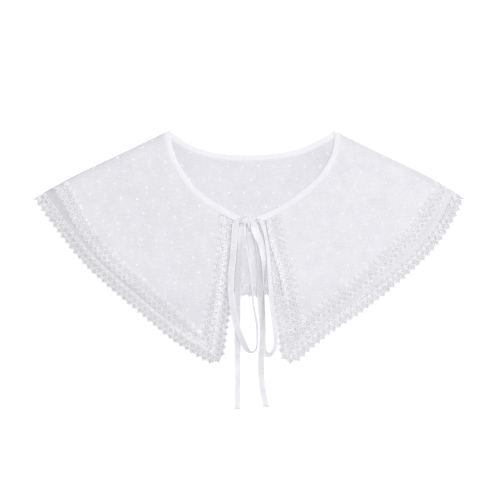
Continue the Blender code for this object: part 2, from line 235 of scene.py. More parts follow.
RIGHT_TAIL = (
    (5.2, 23.5, 4.5, 0),
    (6.8, 17.0, 4.6, 0),
    (12.1, 5.1, 4.8, 4),
    (14.6, -6.8, 5.8, 20),
    (15.9, -16.5, 6.3, 45),
    (15.9, -30.5, 6.3, 65),
    (15.9, -44.6, 6.3, 88),
    (15.6, -61.8, 5.8, 115),
    (15.2, -79.1, 4.8, 140),
    (14.7, -98.6, 4.3, 165),
    (13.8, -112.0, 4.7, 176),
    (13.1, -120.0, 3.9, 178),
    (13.0, -130.0, 2.4, 180),
    (13.3, -139.0, 1.1, 180),
    (13.9, -149.0, 0.8, 180),
    (16.3, -163.4, 0.8, 180),
    (18.7, -173.0, 0.8, 180),
)

# Painted light and shade along each tape, where it lies in shade or catches the light: millimetres along it,
# and the tone there.
LEFT_LOOP_LIGHT_AND_SHADE = (
    (0, 0.0), (100, -0.05), (128, -0.3), (148, -0.7), (162, 0.0), (215, 0.0), (250, 0.4), (288, 0.4),
)
LEFT_TAIL_LIGHT_AND_SHADE = ((0, 0.05), (10, 0.0), (34, -0.35), (80, -0.35), (118, -0.4), (150, 0.1), (199, 0.1))
RIGHT_LOOP_LIGHT_AND_SHADE = ((0, 0.0), (110, -0.05), (140, -0.2), (152, -0.4), (165, -0.1), (210, -0.2), (290, -0.3))
RIGHT_TAIL_LIGHT_AND_SHADE = ((0, 0.15), (40, 0.12), (60, 0.0), (120, -0.05), (142, -0.3), (165, 0.0), (199, 0.1))


def unit(vectors: Array) -> Array:
    """Each vector divided by its own length."""
    return vectors / np.maximum(np.linalg.norm(vectors, axis=-1, keepdims=True), 1e-12)


def smooth_step(value: Array, low: float, high: float) -> Array:
    """0 up to low, 1 from high on, and 3 s squared less 2 s cubed between them."""
    share = np.clip((value - low) / (high - low), 0.0, 1.0)
    return share * share * (3 - 2 * share)


def spline(table: tuple | Array, step: float) -> Array:
    """Points evenly spaced along the natural cubic spline through a table's rows.

    Args:
        table: the rows, whose first two columns measure the distance between rows.
        step: about how far apart the points are, in the table's unit.

    Returns:
        The points, one row each, with all of the table's columns.
    """
    rows = np.asarray(table, float)
    marks = lengths(rows[:, :2])
    spans = np.diff(marks)
    count = len(rows)
    system = np.eye(count)
    target = np.zeros_like(rows)
    inner = np.arange(1, count - 1)
    before, after = spans[:-1], spans[1:]
    system[inner, inner - 1] = before
    system[inner, inner] = 2 * (before + after)
    system[inner, inner + 1] = after
    rise = np.diff(rows, axis=0) / spans[:, None]
    target[inner] = 6 * (rise[1:] - rise[:-1])
    bend = np.linalg.solve(system, target)
    at = np.linspace(0.0, marks[-1], max(2, round(marks[-1] / step) + 1))
    part = np.clip(np.searchsorted(marks, at, side="right") - 1, 0, count - 2)
    span = spans[part][:, None]
    ahead = (at - marks[part])[:, None]
    share = ahead / span
    chord = rows[part] * (1 - share) + rows[part + 1] * share
    return chord - ahead * (span - ahead) / 6 * ((2 - share) * bend[part] + (1 + share) * bend[part + 1])


def line(table: tuple) -> Array:
    """A smooth line in metres through a table of millimetres."""
    return spline(np.asarray(table) * MM, SAMPLE_STEP)


def lengths(points: Array) -> Array:
    """Distance along a line at each of its points."""
    return np.concatenate([[0.0], np.cumsum(np.linalg.norm(np.diff(points, axis=0), axis=1))])


def looked_up(at: Array, marks: Array, rows: Array) -> Array:
    """Rows between the marks of a table, one for each place in an array of any shape."""
    return np.stack([np.interp(at, marks, column) for column in rows.T], axis=-1)


def at_shares(points: Array, shares: Array) -> Array:
    """The points at given shares of a line's length."""
    marks = lengths(points)
    return looked_up(shares * marks[-1], marks, points)


def keeping_sign(wave: Array, power: float) -> Array:
    """A sine or cosine raised to a power with its sign kept: below 1 it squares up an ellipse."""
    return np.sign(wave) * np.abs(wave) ** power


def run_along(points: Array, side: int) -> Run:
    """A run whose across direction is square to it: to its left for side 1, to its right for side -1."""
    along = unit(np.gradient(points, axis=0))
    return Run(points, side * np.column_stack([-along[:, 1], along[:, 0]]))


def mitred(run: Run, start: Array | tuple | None = None, end: Array | tuple | None = None) -> Run:
    """The run with its across direction turned, near an end, into the seam that the strip ends at.

    Args:
        run: the run.
        start: direction of the seam at its start, if it has one.
        end: direction of the seam at its end, if it has one.

    Returns:
        The turned run.
    """
    across = run.across.copy()
    marks = lengths(run.points)
    for seam, away in ((start, marks), (end, marks[-1] - marks)):
        if seam is None:
            continue
        seam = unit(np.asarray(seam, float))
        square = run.across[np.argmin(away)]
        across += np.clip(1 - away / MITRE_RUN, 0, 1)[:, None] * (seam / (seam @ square) - square)
    return Run(run.points, across)


def joined(first: Run, second: Run) -> Run:
    """Two runs that meet at a corner, with the across direction turned evenly round that corner."""
    start = math.atan2(first.across[-1][1], first.across[-1][0])
    turn = math.atan2(second.across[0][1], second.across[0][0]) - start
    turn = (turn + math.pi) % (2 * math.pi) - math.pi
    angles = start + turn * np.linspace(0, 1, CORNER_SAMPLES)[1:-1]
    fan = np.column_stack([np.cos(angles), np.sin(angles)])
    corner = np.repeat(first.points[-1:], len(fan), axis=0)
    return Run(
        np.concatenate([first.points, corner, second.points]),
        np.concatenate([first.across, fan, second.across]),
    )


def offset(run: Run, reach: float) -> Array:
    """The whole line of a run, moved across it."""
    return run.points + reach * run.across


def between(points: Array, start: Array, end: Array) -> Array:
    """The stretch of a line between the points of it nearest to two given ones, which become its ends."""
    first = int(np.argmin(np.linalg.norm(points - start, axis=1)))
    last = int(np.argmin(np.linalg.norm(points - end, axis=1)))
    return np.concatenate([[start], points[first + 1 : last], [end]])


def patch(near: Array, far: Array, start: Array, end: Array) -> Array:
    """A grid filled in between four edges that meet at their ends, each edge's pull blended across it.

    Args:
        near: the edge at v = 0, along u.
        far: the edge at v = 1, along u.
        start: the edge at u = 0, along v.
        end: the edge at u = 1, along v.

    Returns:
        Points on the grid, u by v: both blends of opposite edges, less the blend of the corners.
    """
    u = (lengths(far) / lengths(far)[-1])[:, None, None]
    v = (lengths(start) / lengths(start)[-1])[None, :, None]
    across = (1 - v) * near[:, None, :] + v * far[:, None, :]
    along = (1 - u) * start[None, :, :] + u * end[None, :, :]
    corners = (1 - u) * (1 - v) * near[0] + u * (1 - v) * near[-1] + (1 - u) * v * far[0] + u * v * far[-1]
    return across + along - corners


def depth_inside(edge: Array, side: int, plan: Array) -> Array:
    """How far points lie inside an edge of a front, negative outside it.

    Args:
        edge: points along the edge, in its table's order.
        side: the front's side.
        plan: the points to measure.

    Returns:
        Distance to the nearest stretch of the edge, signed by the side of it that the point is on.
    """
    first, step = edge[:-1], np.diff(edge, axis=0)
    away = plan[:, None, :] - first[None]
    share = np.clip(np.sum(away * step, axis=2) / np.sum(step * step, axis=1), 0.0, 1.0)
    distance = np.linalg.norm(away - share[:, :, None] * step, axis=2)
    nearest = np.argmin(distance, axis=1)
    rows = np.arange(len(plan))
    to_left = step[nearest, 0] * away[rows, nearest, 1] - step[nearest, 1] * away[rows, nearest, 0]
    return np.where(-side * to_left >= 0, 1.0, -1.0) * distance[rows, nearest]


def inside_outline(outline: Array, plan: Array) -> Array:
    """Which points lie in a closed outline: those whose level line crosses it an odd number of times."""
    first, second = outline, np.roll(outline, -1, axis=0)
    x, y = plan[:, :1], plan[:, 1:]
    spans = (first[:, 1] > y) != (second[:, 1] > y)
    rise = np.where(second[:, 1] == first[:, 1], 1e-12, second[:, 1] - first[:, 1])
    crossing = first[:, 0] + (y - first[:, 1]) / rise * (second[:, 0] - first[:, 0])
    return np.sum(spans & (x < crossing), axis=1) % 2 == 1


@dataclass
class Surface:
    """A mesh in the making: its points, and groups of faces with the same number of corners."""

    points: Array
    faces: list[Array]
    uv: list[Array] | None = None

    def turned_out(self) -> "Surface":
        """The surface with its faces pointing out: turned round where its signed volume is negative."""
        volume = 0.0
        for group in self.faces:
            first = self.points[group[:, 0]]
            for corner in range(1, group.shape[1] - 1):
                second, third = self.points[group[:, corner]], self.points[group[:, corner + 1]]
                volume += float(np.sum(first * np.cross(second, third)))
        return self if volume >= 0 else self.flipped()

    def flipped(self) -> "Surface":
        """The surface with each face's corners in the opposite order."""
        uv = None if self.uv is None else [group[:, ::-1] for group in self.uv]
        return Surface(self.points, [group[:, ::-1] for group in self.faces], uv)


def merged(parts: list[Surface]) -> Surface:
    """Several surfaces as one."""
    starts = np.cumsum([0] + [len(part.points) for part in parts])
    faces = [group + start for part, start in zip(parts, starts) for group in part.faces]
    uv = None
    if all(part.uv is not None for part in parts):
        uv = [group for part in parts for group in part.uv]
    return Surface(np.concatenate([part.points for part in parts]), faces, uv)


def grid_quads(columns: int, rows: int, wrap_columns: bool = False, wrap_rows: bool = False) -> Array:
    """Four-cornered faces over a grid of points, column after column, closed where it wraps."""
    c = np.arange(columns if wrap_columns else columns - 1)[:, None]
    r = np.arange(rows if wrap_rows else rows - 1)[None, :]
    ahead, beside = (c + 1) % columns, (r + 1) % rows
    corners = (c * rows + r, ahead * rows + r, ahead * rows + beside, c * rows + beside)
    return np.stack(np.broadcast_arrays(*corners), axis=-1).reshape(-1, 4)


def map_quads(marks: Array, sides: int) -> Array:
    """The map of a grid's quads: u is the mark of each column, and v goes from 0 to 1 over the sides."""
    grid = np.stack(np.meshgrid(marks, np.linspace(0, 1, sides + 1), indexing="ij"), axis=-1)
    corners = (grid[:-1, :-1], grid[1:, :-1], grid[1:, 1:], grid[:-1, 1:])
    return np.stack(corners, axis=2).reshape(-1, 4, 2)


def swept(rings: Array, uv: bool = False) -> Surface:
    """Closed bars from rings of points: walls between the rings, and a flat cap at each end.

    Args:
        rings: bars by rings by points of a ring by 3.
        uv: whether to lay out a map, u in metres along the bar and v from 0 to 1 round it.

    Returns:
        All the bars as one surface.
    """
    bars, count, sides, _ = rings.shape
    starts = (np.arange(bars) * count * sides)[:, None, None]
    walls = (grid_quads(count, sides, wrap_rows=True)[None] + starts).reshape(-1, 4)
    ring = np.arange(sides)[None, None, :]
    ends = [ring + starts, ring[:, :, ::-1] + starts + (count - 1) * sides]
    caps = np.concatenate(ends).reshape(-1, sides)
    surface = Surface(rings.reshape(-1, 3), [walls, caps])
    if uv:
        marks = lengths(rings[0].mean(axis=1))
        surface.uv = [map_quads(marks, sides), np.zeros((len(caps), sides, 2))]
    return surface.turned_out()


def threads(centres: Array, radius: float, flatness: float = 1.0, sides: int = 5) -> Surface:
    """Threads along given middle lines: each ring is an ellipse square to its line.

    Args:
        centres: threads by points along each by 3.
        radius: half their width.
        flatness: their height as a share of their width.
        sides: sides of a ring.

    Returns:
        All the threads as one surface.
    """
    along = unit(np.gradient(centres, axis=1))
    beside = unit(np.cross(along, (0.0, 0.0, 1.0)))
    up = np.cross(beside, along)
    angle = np.linspace(0, 2 * math.pi, sides, endpoint=False)[:, None]
    ring = np.cos(angle) * beside[:, :, None, :] + flatness * np.sin(angle) * up[:, :, None, :]
    return swept(centres[:, :, None, :] + radius * ring)


def paint(piece: bpy.types.Object, tones: Array) -> None:
    """Gives each point of a piece its tone: how much lighter or darker it is drawn there, mostly painted
    light and shade.
    """
    attribute = piece.data.attributes.new(TONE, "FLOAT", "POINT")
    attribute.data.foreach_set("value", tones)


def new_object(name: str, surface: Surface, material: bpy.types.Material) -> bpy.types.Object:
    """Puts a surface in the scene as an object at the origin, with its map if it has one."""
    mesh = bpy.data.meshes.new(name)
    faces = [face for group in surface.faces for face in group.tolist()]
    mesh.from_pydata(surface.points.tolist(), [], faces)
    if surface.uv is not None:
        layer = mesh.uv_layers.new(name=UV_MAP)
        layer.data.foreach_set("uv", np.concatenate([group.reshape(-1, 2) for group in surface.uv]).ravel())
    mesh.materials.append(material)
    made = bpy.data.objects.new(name, mesh)
    bpy.context.scene.collection.objects.link(made)
    return made


def add_piece(name: str, surface: Surface, material: bpy.types.Material, slot: Slot) -> bpy.types.Object:
    """Puts a surface in the scene as a named piece that rides on the collar's body.

    Args:
        name: the piece's name.
        surface: its mesh.
        material: its finish.
        slot: the record's slot that it takes its finish from; not used.

    Returns:
        The object, at the origin.
    """
    piece = new_object(name, surface, material)
    piece.data.shade_smooth()
    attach(piece, BODY)
    log.info("%s: %d faces", name, len(piece.data.polygons))
    return piece


@dataclass(frozen=True)
class Crease:
    """A soft trough or ridge in the cloth. Millimetres, and the bearing in degrees from +X.

    Its height is its rise, times a bell across it, times a flat-topped bell along it.
    """

    x: float
    y: float
    bearing: float
    length: float
    width: float
    rise: float

    def height(self, plan: Array) -> Array:
        """Its height at points on the plan."""
        turn = math.radians(self.bearing)
        away = plan - np.array((self.x, self.y)) * MM
        along = away @ np.array((math.cos(turn), math.sin(turn))) / (0.5 * self.length * MM)
        across = away @ np.array((-math.sin(turn), math.cos(turn))) / (self.width * MM)
        return self.rise * MM * np.exp(-(across**2) - along**4)


def creases(*rows: tuple) -> tuple[Crease, ...]:
    """Creases from rows of their x, y, bearing, length, width and rise."""
    return tuple(Crease(*row) for row in rows)


LEFT_CREASES = creases(
    (-168, 62, -38, 80, 9, 0.45),
    (-146, 42, -47, 62, 6, -0.30),
    (-118, 58, -58, 70, 12, 0.50),
    (-112, 4, -33, 90, 10, 0.40),
    (-86, -22, -52, 58, 7, -0.28),
    (-70, 22, -66, 84, 11, 0.42),
    (-58, -44, -80, 52, 8, 0.34),
    (-44, 8, 88, 46, 6, -0.22),
    (-104, 92, -70, 44, 8, -0.26),
    (-188, 44, -24, 34, 6, -0.22),
)
RIGHT_CREASES = creases(
    (172, 60, 30, 74, 10, 0.48),
    (146, 66, 44, 66, 7, -0.30),
    (124, 32, 36, 92, 12, 0.46),
    (112, 86, 64, 52, 9, 0.36),
    (94, -10, 42, 70, 8, -0.30),
    (72, 28, 58, 76, 11, 0.44),
    (60, -34, 74, 56, 8, 0.30),
    (52, 6, -84, 40, 6, -0.22),
    (188, 34, 52, 36, 7, -0.24),
)
BACK_CREASES = creases(
    (-30, 66, 8, 90, 9, 0.22),
    (46, 84, 24, 70, 10, 0.26),
    (6, 52, -80, 54, 8, 0.16),
    (66, 92, 52, 44, 7, -0.14),
    (-4, -12, 4, 44, 9, 0.20),
)


@dataclass(frozen=True)
class FrontPlan:
    """The lines of one front, worked out from its edges."""

    edges: FrontEdges
    fold: Array
    hem: Array
    centre: Array
    band_hem: Array
    band_centre: Array
    binding: Run
    neck: Array

    @classmethod
    def of(cls, edges: FrontEdges) -> "FrontPlan":
        """The lines of the front with these edges."""
        tables = (edges.fold, edges.hem, edges.centre, edges.band_hem, edges.band_centre)
        fold, hem, centre, band_hem, band_centre = (line(table) for table in tables)
        at_neck = cls.fold_direction(fold, np.array(edges.fold[0]) * MM)
        binding = mitred(run_along(line(edges.binding), edges.side), start=at_neck)
        neck = offset(binding, BINDING_WIDTH / 2 - UNDER_BINDING)
        neck = between(neck, neck[0], centre[-1])
        return cls(edges, fold, hem, centre, band_hem, band_centre, binding, neck)

    @staticmethod
    def fold_direction(fold: Array, near: Array) -> Array:
        """Direction of the shoulder fold, outwards, near one place on it."""
        nearest = int(np.argmin(np.linalg.norm(fold - near, axis=1)))
        nearest = min(max(nearest, 1), len(fold) - 2)
        return fold[nearest + 1] - fold[nearest - 1]

    def strip(self, hem: Array, centre: Array, end: tuple) -> Run:
        """The run of a strip of lace: from the shoulder fold along the hem, round the tip and up the centre.

        Args:
            hem: its line along the hem.
            centre: its line along the centre front.
            end: direction of the seam that it ends at.

        Returns:
            The run.
        """
        side = self.edges.side
        at_fold = self.fold_direction(self.fold, hem[0])
        return joined(mitred(run_along(hem, side), start=at_fold), mitred(run_along(centre, side), end=end))

    def edging(self) -> Run:
        """The run of the scalloped edging."""
        return self.strip(self.hem, self.centre, self.edges.edging_end)

    def band(self) -> Run:
        """The run of the applied band's heading."""
        return self.strip(self.band_hem, self.band_centre, self.edges.band_end)

    def bare_outline(self) -> Array:
        """The outline of the cloth inside the applied band, as a closed line."""
        fold = between(self.fold, self.neck[0], self.band_hem[0])
        return np.concatenate([self.neck[::-1], fold, self.band_hem, self.band_centre])


@dataclass(frozen=True)
class BackPlan:
    """The lines of the back, worked out from both shoulder folds."""

    hem: Array
    binding: Run
    neck: Array
    folds: tuple[Array, Array]
    ends: tuple[Array, Array]

    @classmethod
    def of(cls, left: FrontPlan, right: FrontPlan) -> "BackPlan":
        """The back that lies under these fronts: its hem is an arc between the two folds."""
        radius = BACK_ARC_RADIUS - LACE_WIDTH - GAP
        middle = np.array((0.0, BACK_ARC_MIDDLE_Y))
        angles = []
        for front in (left, right):
            corner = front.fold[np.argmin(np.abs(np.linalg.norm(front.fold - middle, axis=1) - radius))]
            angles.append(math.atan2(*(corner - middle)[::-1]) % (2 * math.pi))
        turn = np.linspace(*angles, round(radius * (angles[1] - angles[0]) / SAMPLE_STEP))
        hem = middle + radius * np.column_stack([np.cos(turn), np.sin(turn)])
        seams = [front.fold_direction(front.fold, front.fold[0]) for front in (left, right)]
        binding = mitred(run_along(line(BACK_BINDING), -1), *seams)
        neck = offset(binding, BINDING_WIDTH / 2 - UNDER_BINDING)
        folds = tuple(between(f.fold, neck[i], hem[i]) for f, i in ((left, 0), (right, -1)))
        ends = tuple(f.fold_direction(f.fold, hem[i]) for f, i in ((left, 0), (right, -1)))
        return cls(hem, binding, neck, folds, ends)

    def outline(self) -> Array:
        """The panel's outline as a closed line."""
        return np.concatenate([self.neck[::-1], self.folds[0], self.hem, self.folds[1][::-1]])


@dataclass(frozen=True)
class Lay:
    """How high the collar's layers lie, in metres."""

    back_rest: float = 0.66 * MM
    back_waves: float = 0.08 * MM
    back_relief: tuple = (-0.25 * MM, 0.4 * MM)
    front_rest: float = 0.72 * MM
    front_waves: float = 0.16 * MM
    least: float = 0.45 * MM
    hem_settling: tuple = (-6 * MM, 10 * MM)
    ridge_foot: float = 8.5 * MM
    ridge_crown: float = 18.0 * MM
    ridge_end: float = 46.0 * MM
    ridge_at_centre: float = 0.25
    ridge_growth: tuple = (4 * MM, 40 * MM)
    fold_run: float = 3.6 * MM
    waves: tuple = ((310, 120, 0.3), (-190, 260, 1.7), (95, -410, 2.9), (430, 300, 4.1), (-520, 90, 5.2))

    def unevenness(self, plan: Array, size: float) -> Array:
        """Fine unevenness of resting cloth: the mean of its slanted sine waves, times its size."""
        waves = [np.sin(plan @ np.array((a, b)) + phase) for a, b, phase in self.waves]
        return size * sum(waves) / len(waves)

    @staticmethod
    def floor(plan: Array) -> Array:
        """Height under the fronts: one wall and one gap over the back, then a soft S to the surface."""
        reach = np.hypot(plan[:, 0], plan[:, 1] - BACK_ARC_MIDDLE_Y) - BACK_ARC_RADIUS
        return FRONT_LIFT * (1 - smooth_step(reach, DROP_START, DROP_START + DROP_RUN))

    def back(self, plan: Array) -> Array:
        """Height of the middle of the back's cloth."""
        relief = sum(crease.height(plan) for crease in BACK_CREASES) + self.unevenness(plan, self.back_waves)
        return self.back_rest + np.clip(relief, *self.back_relief)

    def front(self, plan: Array, front: FrontPlan) -> Array:
        """Height of the middle of a front's cloth.

        Its rest height, plus its creases and the ridge that the applied lace stiffens it into, falling to
        the hem. At the shoulder it rolls down to the back as a quarter ellipse.

        Args:
            plan: points on the plan.
            front: the front's lines.

        Returns:
            The height at each point.
        """
        side = front.edges.side
        folds = LEFT_CREASES if side < 0 else RIGHT_CREASES
        relief = sum(crease.height(plan) for crease in folds) + self.unevenness(plan, self.front_waves)
        hem = depth_inside(front.hem[::4], side, plan)
        centre = depth_inside(front.centre[::4], side, plan)
        ridge = smooth_step(hem, 0.0, self.ridge_foot)
        ridge *= 1 - smooth_step(hem, self.ridge_crown, self.ridge_end)
        ridge *= self.ridge_at_centre + (1 - self.ridge_at_centre) * smooth_step(centre, *self.ridge_growth)
        relief = relief * smooth_step(hem, *self.hem_settling) + front.edges.ridge_rise * ridge
        level = self.floor(plan) + np.maximum(self.front_rest + relief, self.least)
        fold = depth_inside(front.fold[::6], side, plan)
        share = np.clip(fold / self.fold_run, 0.0, 1.0)
        rolled = np.sqrt(1 - (1 - share) ** 2)
        back = self.back(plan)
        return back + rolled * (level - back)


class Shading:
    """The node tree of one procedural material, built round its Principled shader."""

    def __init__(self, name: str, roughness: float, sheen: float = 0.0, alpha: float = 1.0) -> None:
        """Starts a material.

        Args:
            name: the material's name.
            roughness: of the shader.
            sheen: weight of the fibres' sheen.
            alpha: 1 where it hides what lies behind it, less where that shows through.
        """
        self.material = bpy.data.materials.new(name)
        self.material.use_nodes = True
        self.tree = self.material.node_tree
        self.shader = self.tree.nodes["Principled BSDF"]
        self.shader.inputs["Roughness"].default_value = roughness
        self.shader.inputs["Sheen Weight"].default_value = sheen
        self.shader.inputs["Sheen Roughness"].default_value = 0.5
        self.shader.inputs["Specular IOR Level"].default_value = 0.25
        self.shader.inputs["Alpha"].default_value = alpha

    def node(self, kind: str, **settings: object) -> bpy.types.Node:
        """A new node of a kind, with its settings."""
        made = self.tree.nodes.new(kind)
        for name, value in settings.items():
            setattr(made, name, value)
        return made

    def feed(self, socket: Socket, value: Socket | float | Colour) -> None:
        """Links a socket to another one, or gives it a value."""
        if isinstance(value, bpy.types.NodeSocket):
            self.tree.links.new(value, socket)
        else:
            socket.default_value = value

    def math(self, operation: str, first: Socket | float, second: Socket | float = 0.0) -> Socket:
        """The result of one step of arithmetic."""
        made = self.node("ShaderNodeMath", operation=operation)
        self.feed(made.inputs[0], first)
        self.feed(made.inputs[1], second)
        return made.outputs[0]

    def sum(self, *terms: tuple[float, Socket]) -> Socket:
        """A weighted sum, with one half added: the share of the lighter colour."""
        total = 0.5
        for weight, socket in terms:
            total = self.math("ADD", self.math("MULTIPLY", socket, weight), total)
        return total

    def coordinates(
        self, turn: float = 0.0, stretch: Colour = (1.0, 1.0, 1.0), shift: Colour = (0.0, 0.0, 0.0)
    ) -> Socket:
        """Object coordinates, stretched, turned about the Z axis by degrees and shifted."""
        source = self.node("ShaderNodeTexCoord")
        mapping = self.node("ShaderNodeMapping")
        mapping.inputs["Location"].default_value = shift
        mapping.inputs["Rotation"].default_value = (0.0, 0.0, math.radians(turn))
        mapping.inputs["Scale"].default_value = stretch
        self.tree.links.new(source.outputs["Object"], mapping.inputs["Vector"])
        return mapping.outputs["Vector"]

    def painted(self) -> Socket:
        """The tone painted on the piece's points."""
        return self.node("ShaderNodeAttribute", attribute_name=TONE).outputs["Fac"]

    def split(self, vector: Socket) -> tuple[Socket, Socket]:
        """The first two parts of a vector."""
        made = self.node("ShaderNodeSeparateXYZ")
        self.tree.links.new(vector, made.inputs[0])
        return made.outputs[0], made.outputs[1]

    def noise(self, vector: Socket, size: float, detail: float = 2.0) -> Socket:
        """Noise from -0.5 to 0.5 with grains of about a size in metres."""
        made = self.node("ShaderNodeTexNoise")
        self.tree.links.new(vector, made.inputs["Vector"])
        made.inputs["Scale"].default_value = 1.0 / size
        made.inputs["Detail"].default_value = detail
        return self.math("SUBTRACT", made.outputs["Fac"], 0.5)

    def wave(self, value: Socket, pitch: float) -> Socket:
        """The sine of a length, with one whole wave to a pitch."""
        return self.math("SINE", self.math("MULTIPLY", value, 2 * math.pi / pitch))

    def off_middle(self, value: Socket, pitch: float, shift: float) -> Socket:
        """Distance of a length from the nearest whole number of pitches, after a shift in pitches."""
        turns = self.math("ADD", self.math("MULTIPLY", value, 1.0 / pitch), shift + 0.5)
        return self.math("MULTIPLY", self.math("SUBTRACT", self.math("FRACT", turns), 0.5), pitch)

    def spots(self, vector: Socket, pitch: float, row: float, reach: float) -> Socket:
        """Soft round spots in rows, each row half a pitch on: e to minus the squared distance over reach."""
        x, y = self.split(vector)
        total = 0.0
        for shift in (0.0, 0.5):
            aside = self.math("POWER", self.math("ABSOLUTE", self.off_middle(x, pitch, shift)), 2.0)
            ahead = self.math("POWER", self.math("ABSOLUTE", self.off_middle(y, 2 * row, shift)), 2.0)
            squared = self.math("MULTIPLY", self.math("ADD", aside, ahead), -1.0 / reach**2)
            total = self.math("ADD", self.math("EXPONENT", squared), total)
        return total

    def colour(self, share: Socket, dark: Colour, light: Colour) -> None:
        """Colours the shader between a darker and a lighter tone."""
        made = self.node("ShaderNodeMix", data_type="RGBA", clamp_factor=True)
        self.tree.links.new(share, made.inputs["Factor"])
        made.inputs[6].default_value = (*dark, 1.0)
        made.inputs[7].default_value = (*light, 1.0)
        self.tree.links.new(made.outputs[2], self.shader.inputs["Base Color"])

    def bump(self, height: Socket, distance: float, strength: float) -> None:
        """Raises the surface's shading by a height from -1 to 1 times a distance."""
        made = self.node("ShaderNodeBump")
        made.inputs["Distance"].default_value = distance
        made.inputs["Strength"].default_value = strength
        self.tree.links.new(height, made.inputs["Height"])
        self.tree.links.new(made.outputs["Normal"], self.shader.inputs["Normal"])


@dataclass(frozen=True)
class Rows:
    """Where the rows of dots lie: one dot's place in millimetres, the rows' bearing, and their spacing."""

    anchor: tuple[float, float]
    bearing: float
    pitch: float
    row: float

    def shift(self, x: float, y: float) -> Colour:
        """What brings a place, x and y metres from the anchor along the rows, to zero after the turn."""
        turn = math.radians(self.bearing)
        along = self.anchor[0] * math.cos(turn) + self.anchor[1] * math.sin(turn)
        across = self.anchor[1] * math.cos(turn) - self.anchor[0] * math.sin(turn)
        return (-along * MM - x, -across * MM - y, 0.0)


BACK_ROWS = Rows(anchor=(-23.2, 57.9), bearing=0.0, pitch=16.6 * MM, row=14.5 * MM)
LEFT_ROWS = Rows(anchor=(-63.8, 30.6), bearing=-6.5, pitch=17.0 * MM, row=14.1 * MM)
RIGHT_ROWS = Rows(anchor=(66.0, 31.5), bearing=6.5, pitch=17.0 * MM, row=14.1 * MM)


@dataclass(frozen=True)
class Voile:
    """Sheer plain-weave cotton, with uneven threads and the painted light and shade of its piece's tone.

    The cloth is closer round each woven dot. Through a front, the back's dots show as fainter ones.
    """

    name: str
    dark: Colour
    light: Colour
    rows: Rows
    seen_through: float = 0.0
    seen_aside: tuple[float, float] = (1.2 * MM, -6.2 * MM)
    halo_reach: float = 1.9 * MM
    seen_reach: float = 1.25 * MM
    thread_pitch: float = 0.42 * MM
    slub: float = 1.3 * MM
    slub_stretch: float = 0.10
    patch: float = 20 * MM
    grain: float = 2.0 * MM
    alpha: float = 0.93

    def material(self) -> bpy.types.Material:
        """The finish as a material."""
        shading = Shading(self.name, roughness=0.9, sheen=0.15, alpha=self.alpha)
        turn = -self.rows.bearing
        place = shading.coordinates(turn=turn)
        waves = [shading.wave(part, self.thread_pitch) for part in shading.split(place)]
        weave = shading.math("MULTIPLY", *waves)
        warp = shading.noise(shading.coordinates(turn, (1.0, self.slub_stretch, 1.0)), self.slub)
        weft = shading.noise(shading.coordinates(turn, (self.slub_stretch, 1.0, 1.0)), self.slub)
        cloud = shading.noise(place, self.patch)
        fleck = shading.noise(place, self.grain, 4.0)
        # The painted tone: painted light and shade on the cloth.
        tone = shading.painted()
        dots = shading.coordinates(turn=turn, shift=self.rows.shift(0.0, 0.0))
        seen = shading.coordinates(turn=turn, shift=self.rows.shift(*self.seen_aside))
        halo = shading.spots(dots, self.rows.pitch, self.rows.row, self.halo_reach)
        faint = shading.spots(seen, self.rows.pitch, self.rows.row, self.seen_reach)
        share = shading.sum(
            (0.17, warp),
            (0.17, weft),
            (0.24, cloud),
            (0.38, fleck),
            (0.34, tone),
            (0.10, halo),
            (self.seen_through, faint),
        )
        shading.colour(share, self.dark, self.light)
        relief = shading.math("ADD", weave, shading.math("MULTIPLY", shading.math("ADD", warp, weft), 2.0))
        shading.bump(relief, 0.05 * MM, 0.5)
        return shading.material


@dataclass(frozen=True)
class Thread:
    """Matt twisted cotton thread."""

    name: str
    dark: Colour
    light: Colour
    grain: float = 1.1 * MM
    speckle: float = 1.3
    ply: float = 0.45 * MM
    patch: float = 14 * MM

    def material(self) -> bpy.types.Material:
        """The finish as a material."""
        shading = Shading(self.name, roughness=0.85, sheen=0.2)
        place = shading.coordinates()
        speckle = shading.noise(place, self.grain, 3.0)
        patches = shading.noise(place, self.patch)
        # The painted tone: a painted highlight on the heading of an edging.
        tone = shading.painted()
        share = shading.sum((self.speckle, speckle), (0.8, patches), (1.0, tone))
        shading.colour(share, self.dark, self.light)
        x, y = shading.split(place)
        twist = shading.wave(shading.math("ADD", x, y), self.ply)
        shading.bump(shading.math("ADD", twist, shading.math("MULTIPLY", speckle, 2.0)), 0.06 * MM, 0.15)
        return shading.material


@dataclass(frozen=True)
class Tape:
    """Smooth woven tape: fine ribs across it, firm edges, and a soft sheen. It reads the piece's own map."""

    name: str
    dark: Colour
    light: Colour
    rib: float = 0.5 * MM
    selvedge_power: float = 4.0
    slub: float = 2.2 * MM
    patch: float = 16 * MM
    alpha: float = 0.94

    def material(self) -> bpy.types.Material:
        """The finish as a material."""
        shading = Shading(self.name, roughness=0.6, sheen=0.25, alpha=self.alpha)
        uv = shading.node("ShaderNodeUVMap", uv_map=UV_MAP).outputs["UV"]
        along, around = shading.split(uv)
        beside = shading.math("COSINE", shading.math("MULTIPLY", around, 2 * math.pi))
        selvedge = shading.math("POWER", shading.math("ABSOLUTE", beside), self.selvedge_power)
        place = shading.coordinates()
        ribs = shading.wave(along, self.rib)
        slub = shading.noise(place, self.slub, 3.0)
        cloud = shading.noise(place, self.patch)
        # The painted tone: painted light and shade along the tape.
        tone = shading.painted()
        share = shading.sum((0.7, slub), (0.6, cloud), (0.05, ribs), (0.8, selvedge), (1.0, tone))
        shading.colour(share, self.dark, self.light)
        shading.bump(shading.math("ADD", ribs, shading.math("MULTIPLY", slub, 2.0)), 0.04 * MM, 0.5)
        return shading.material


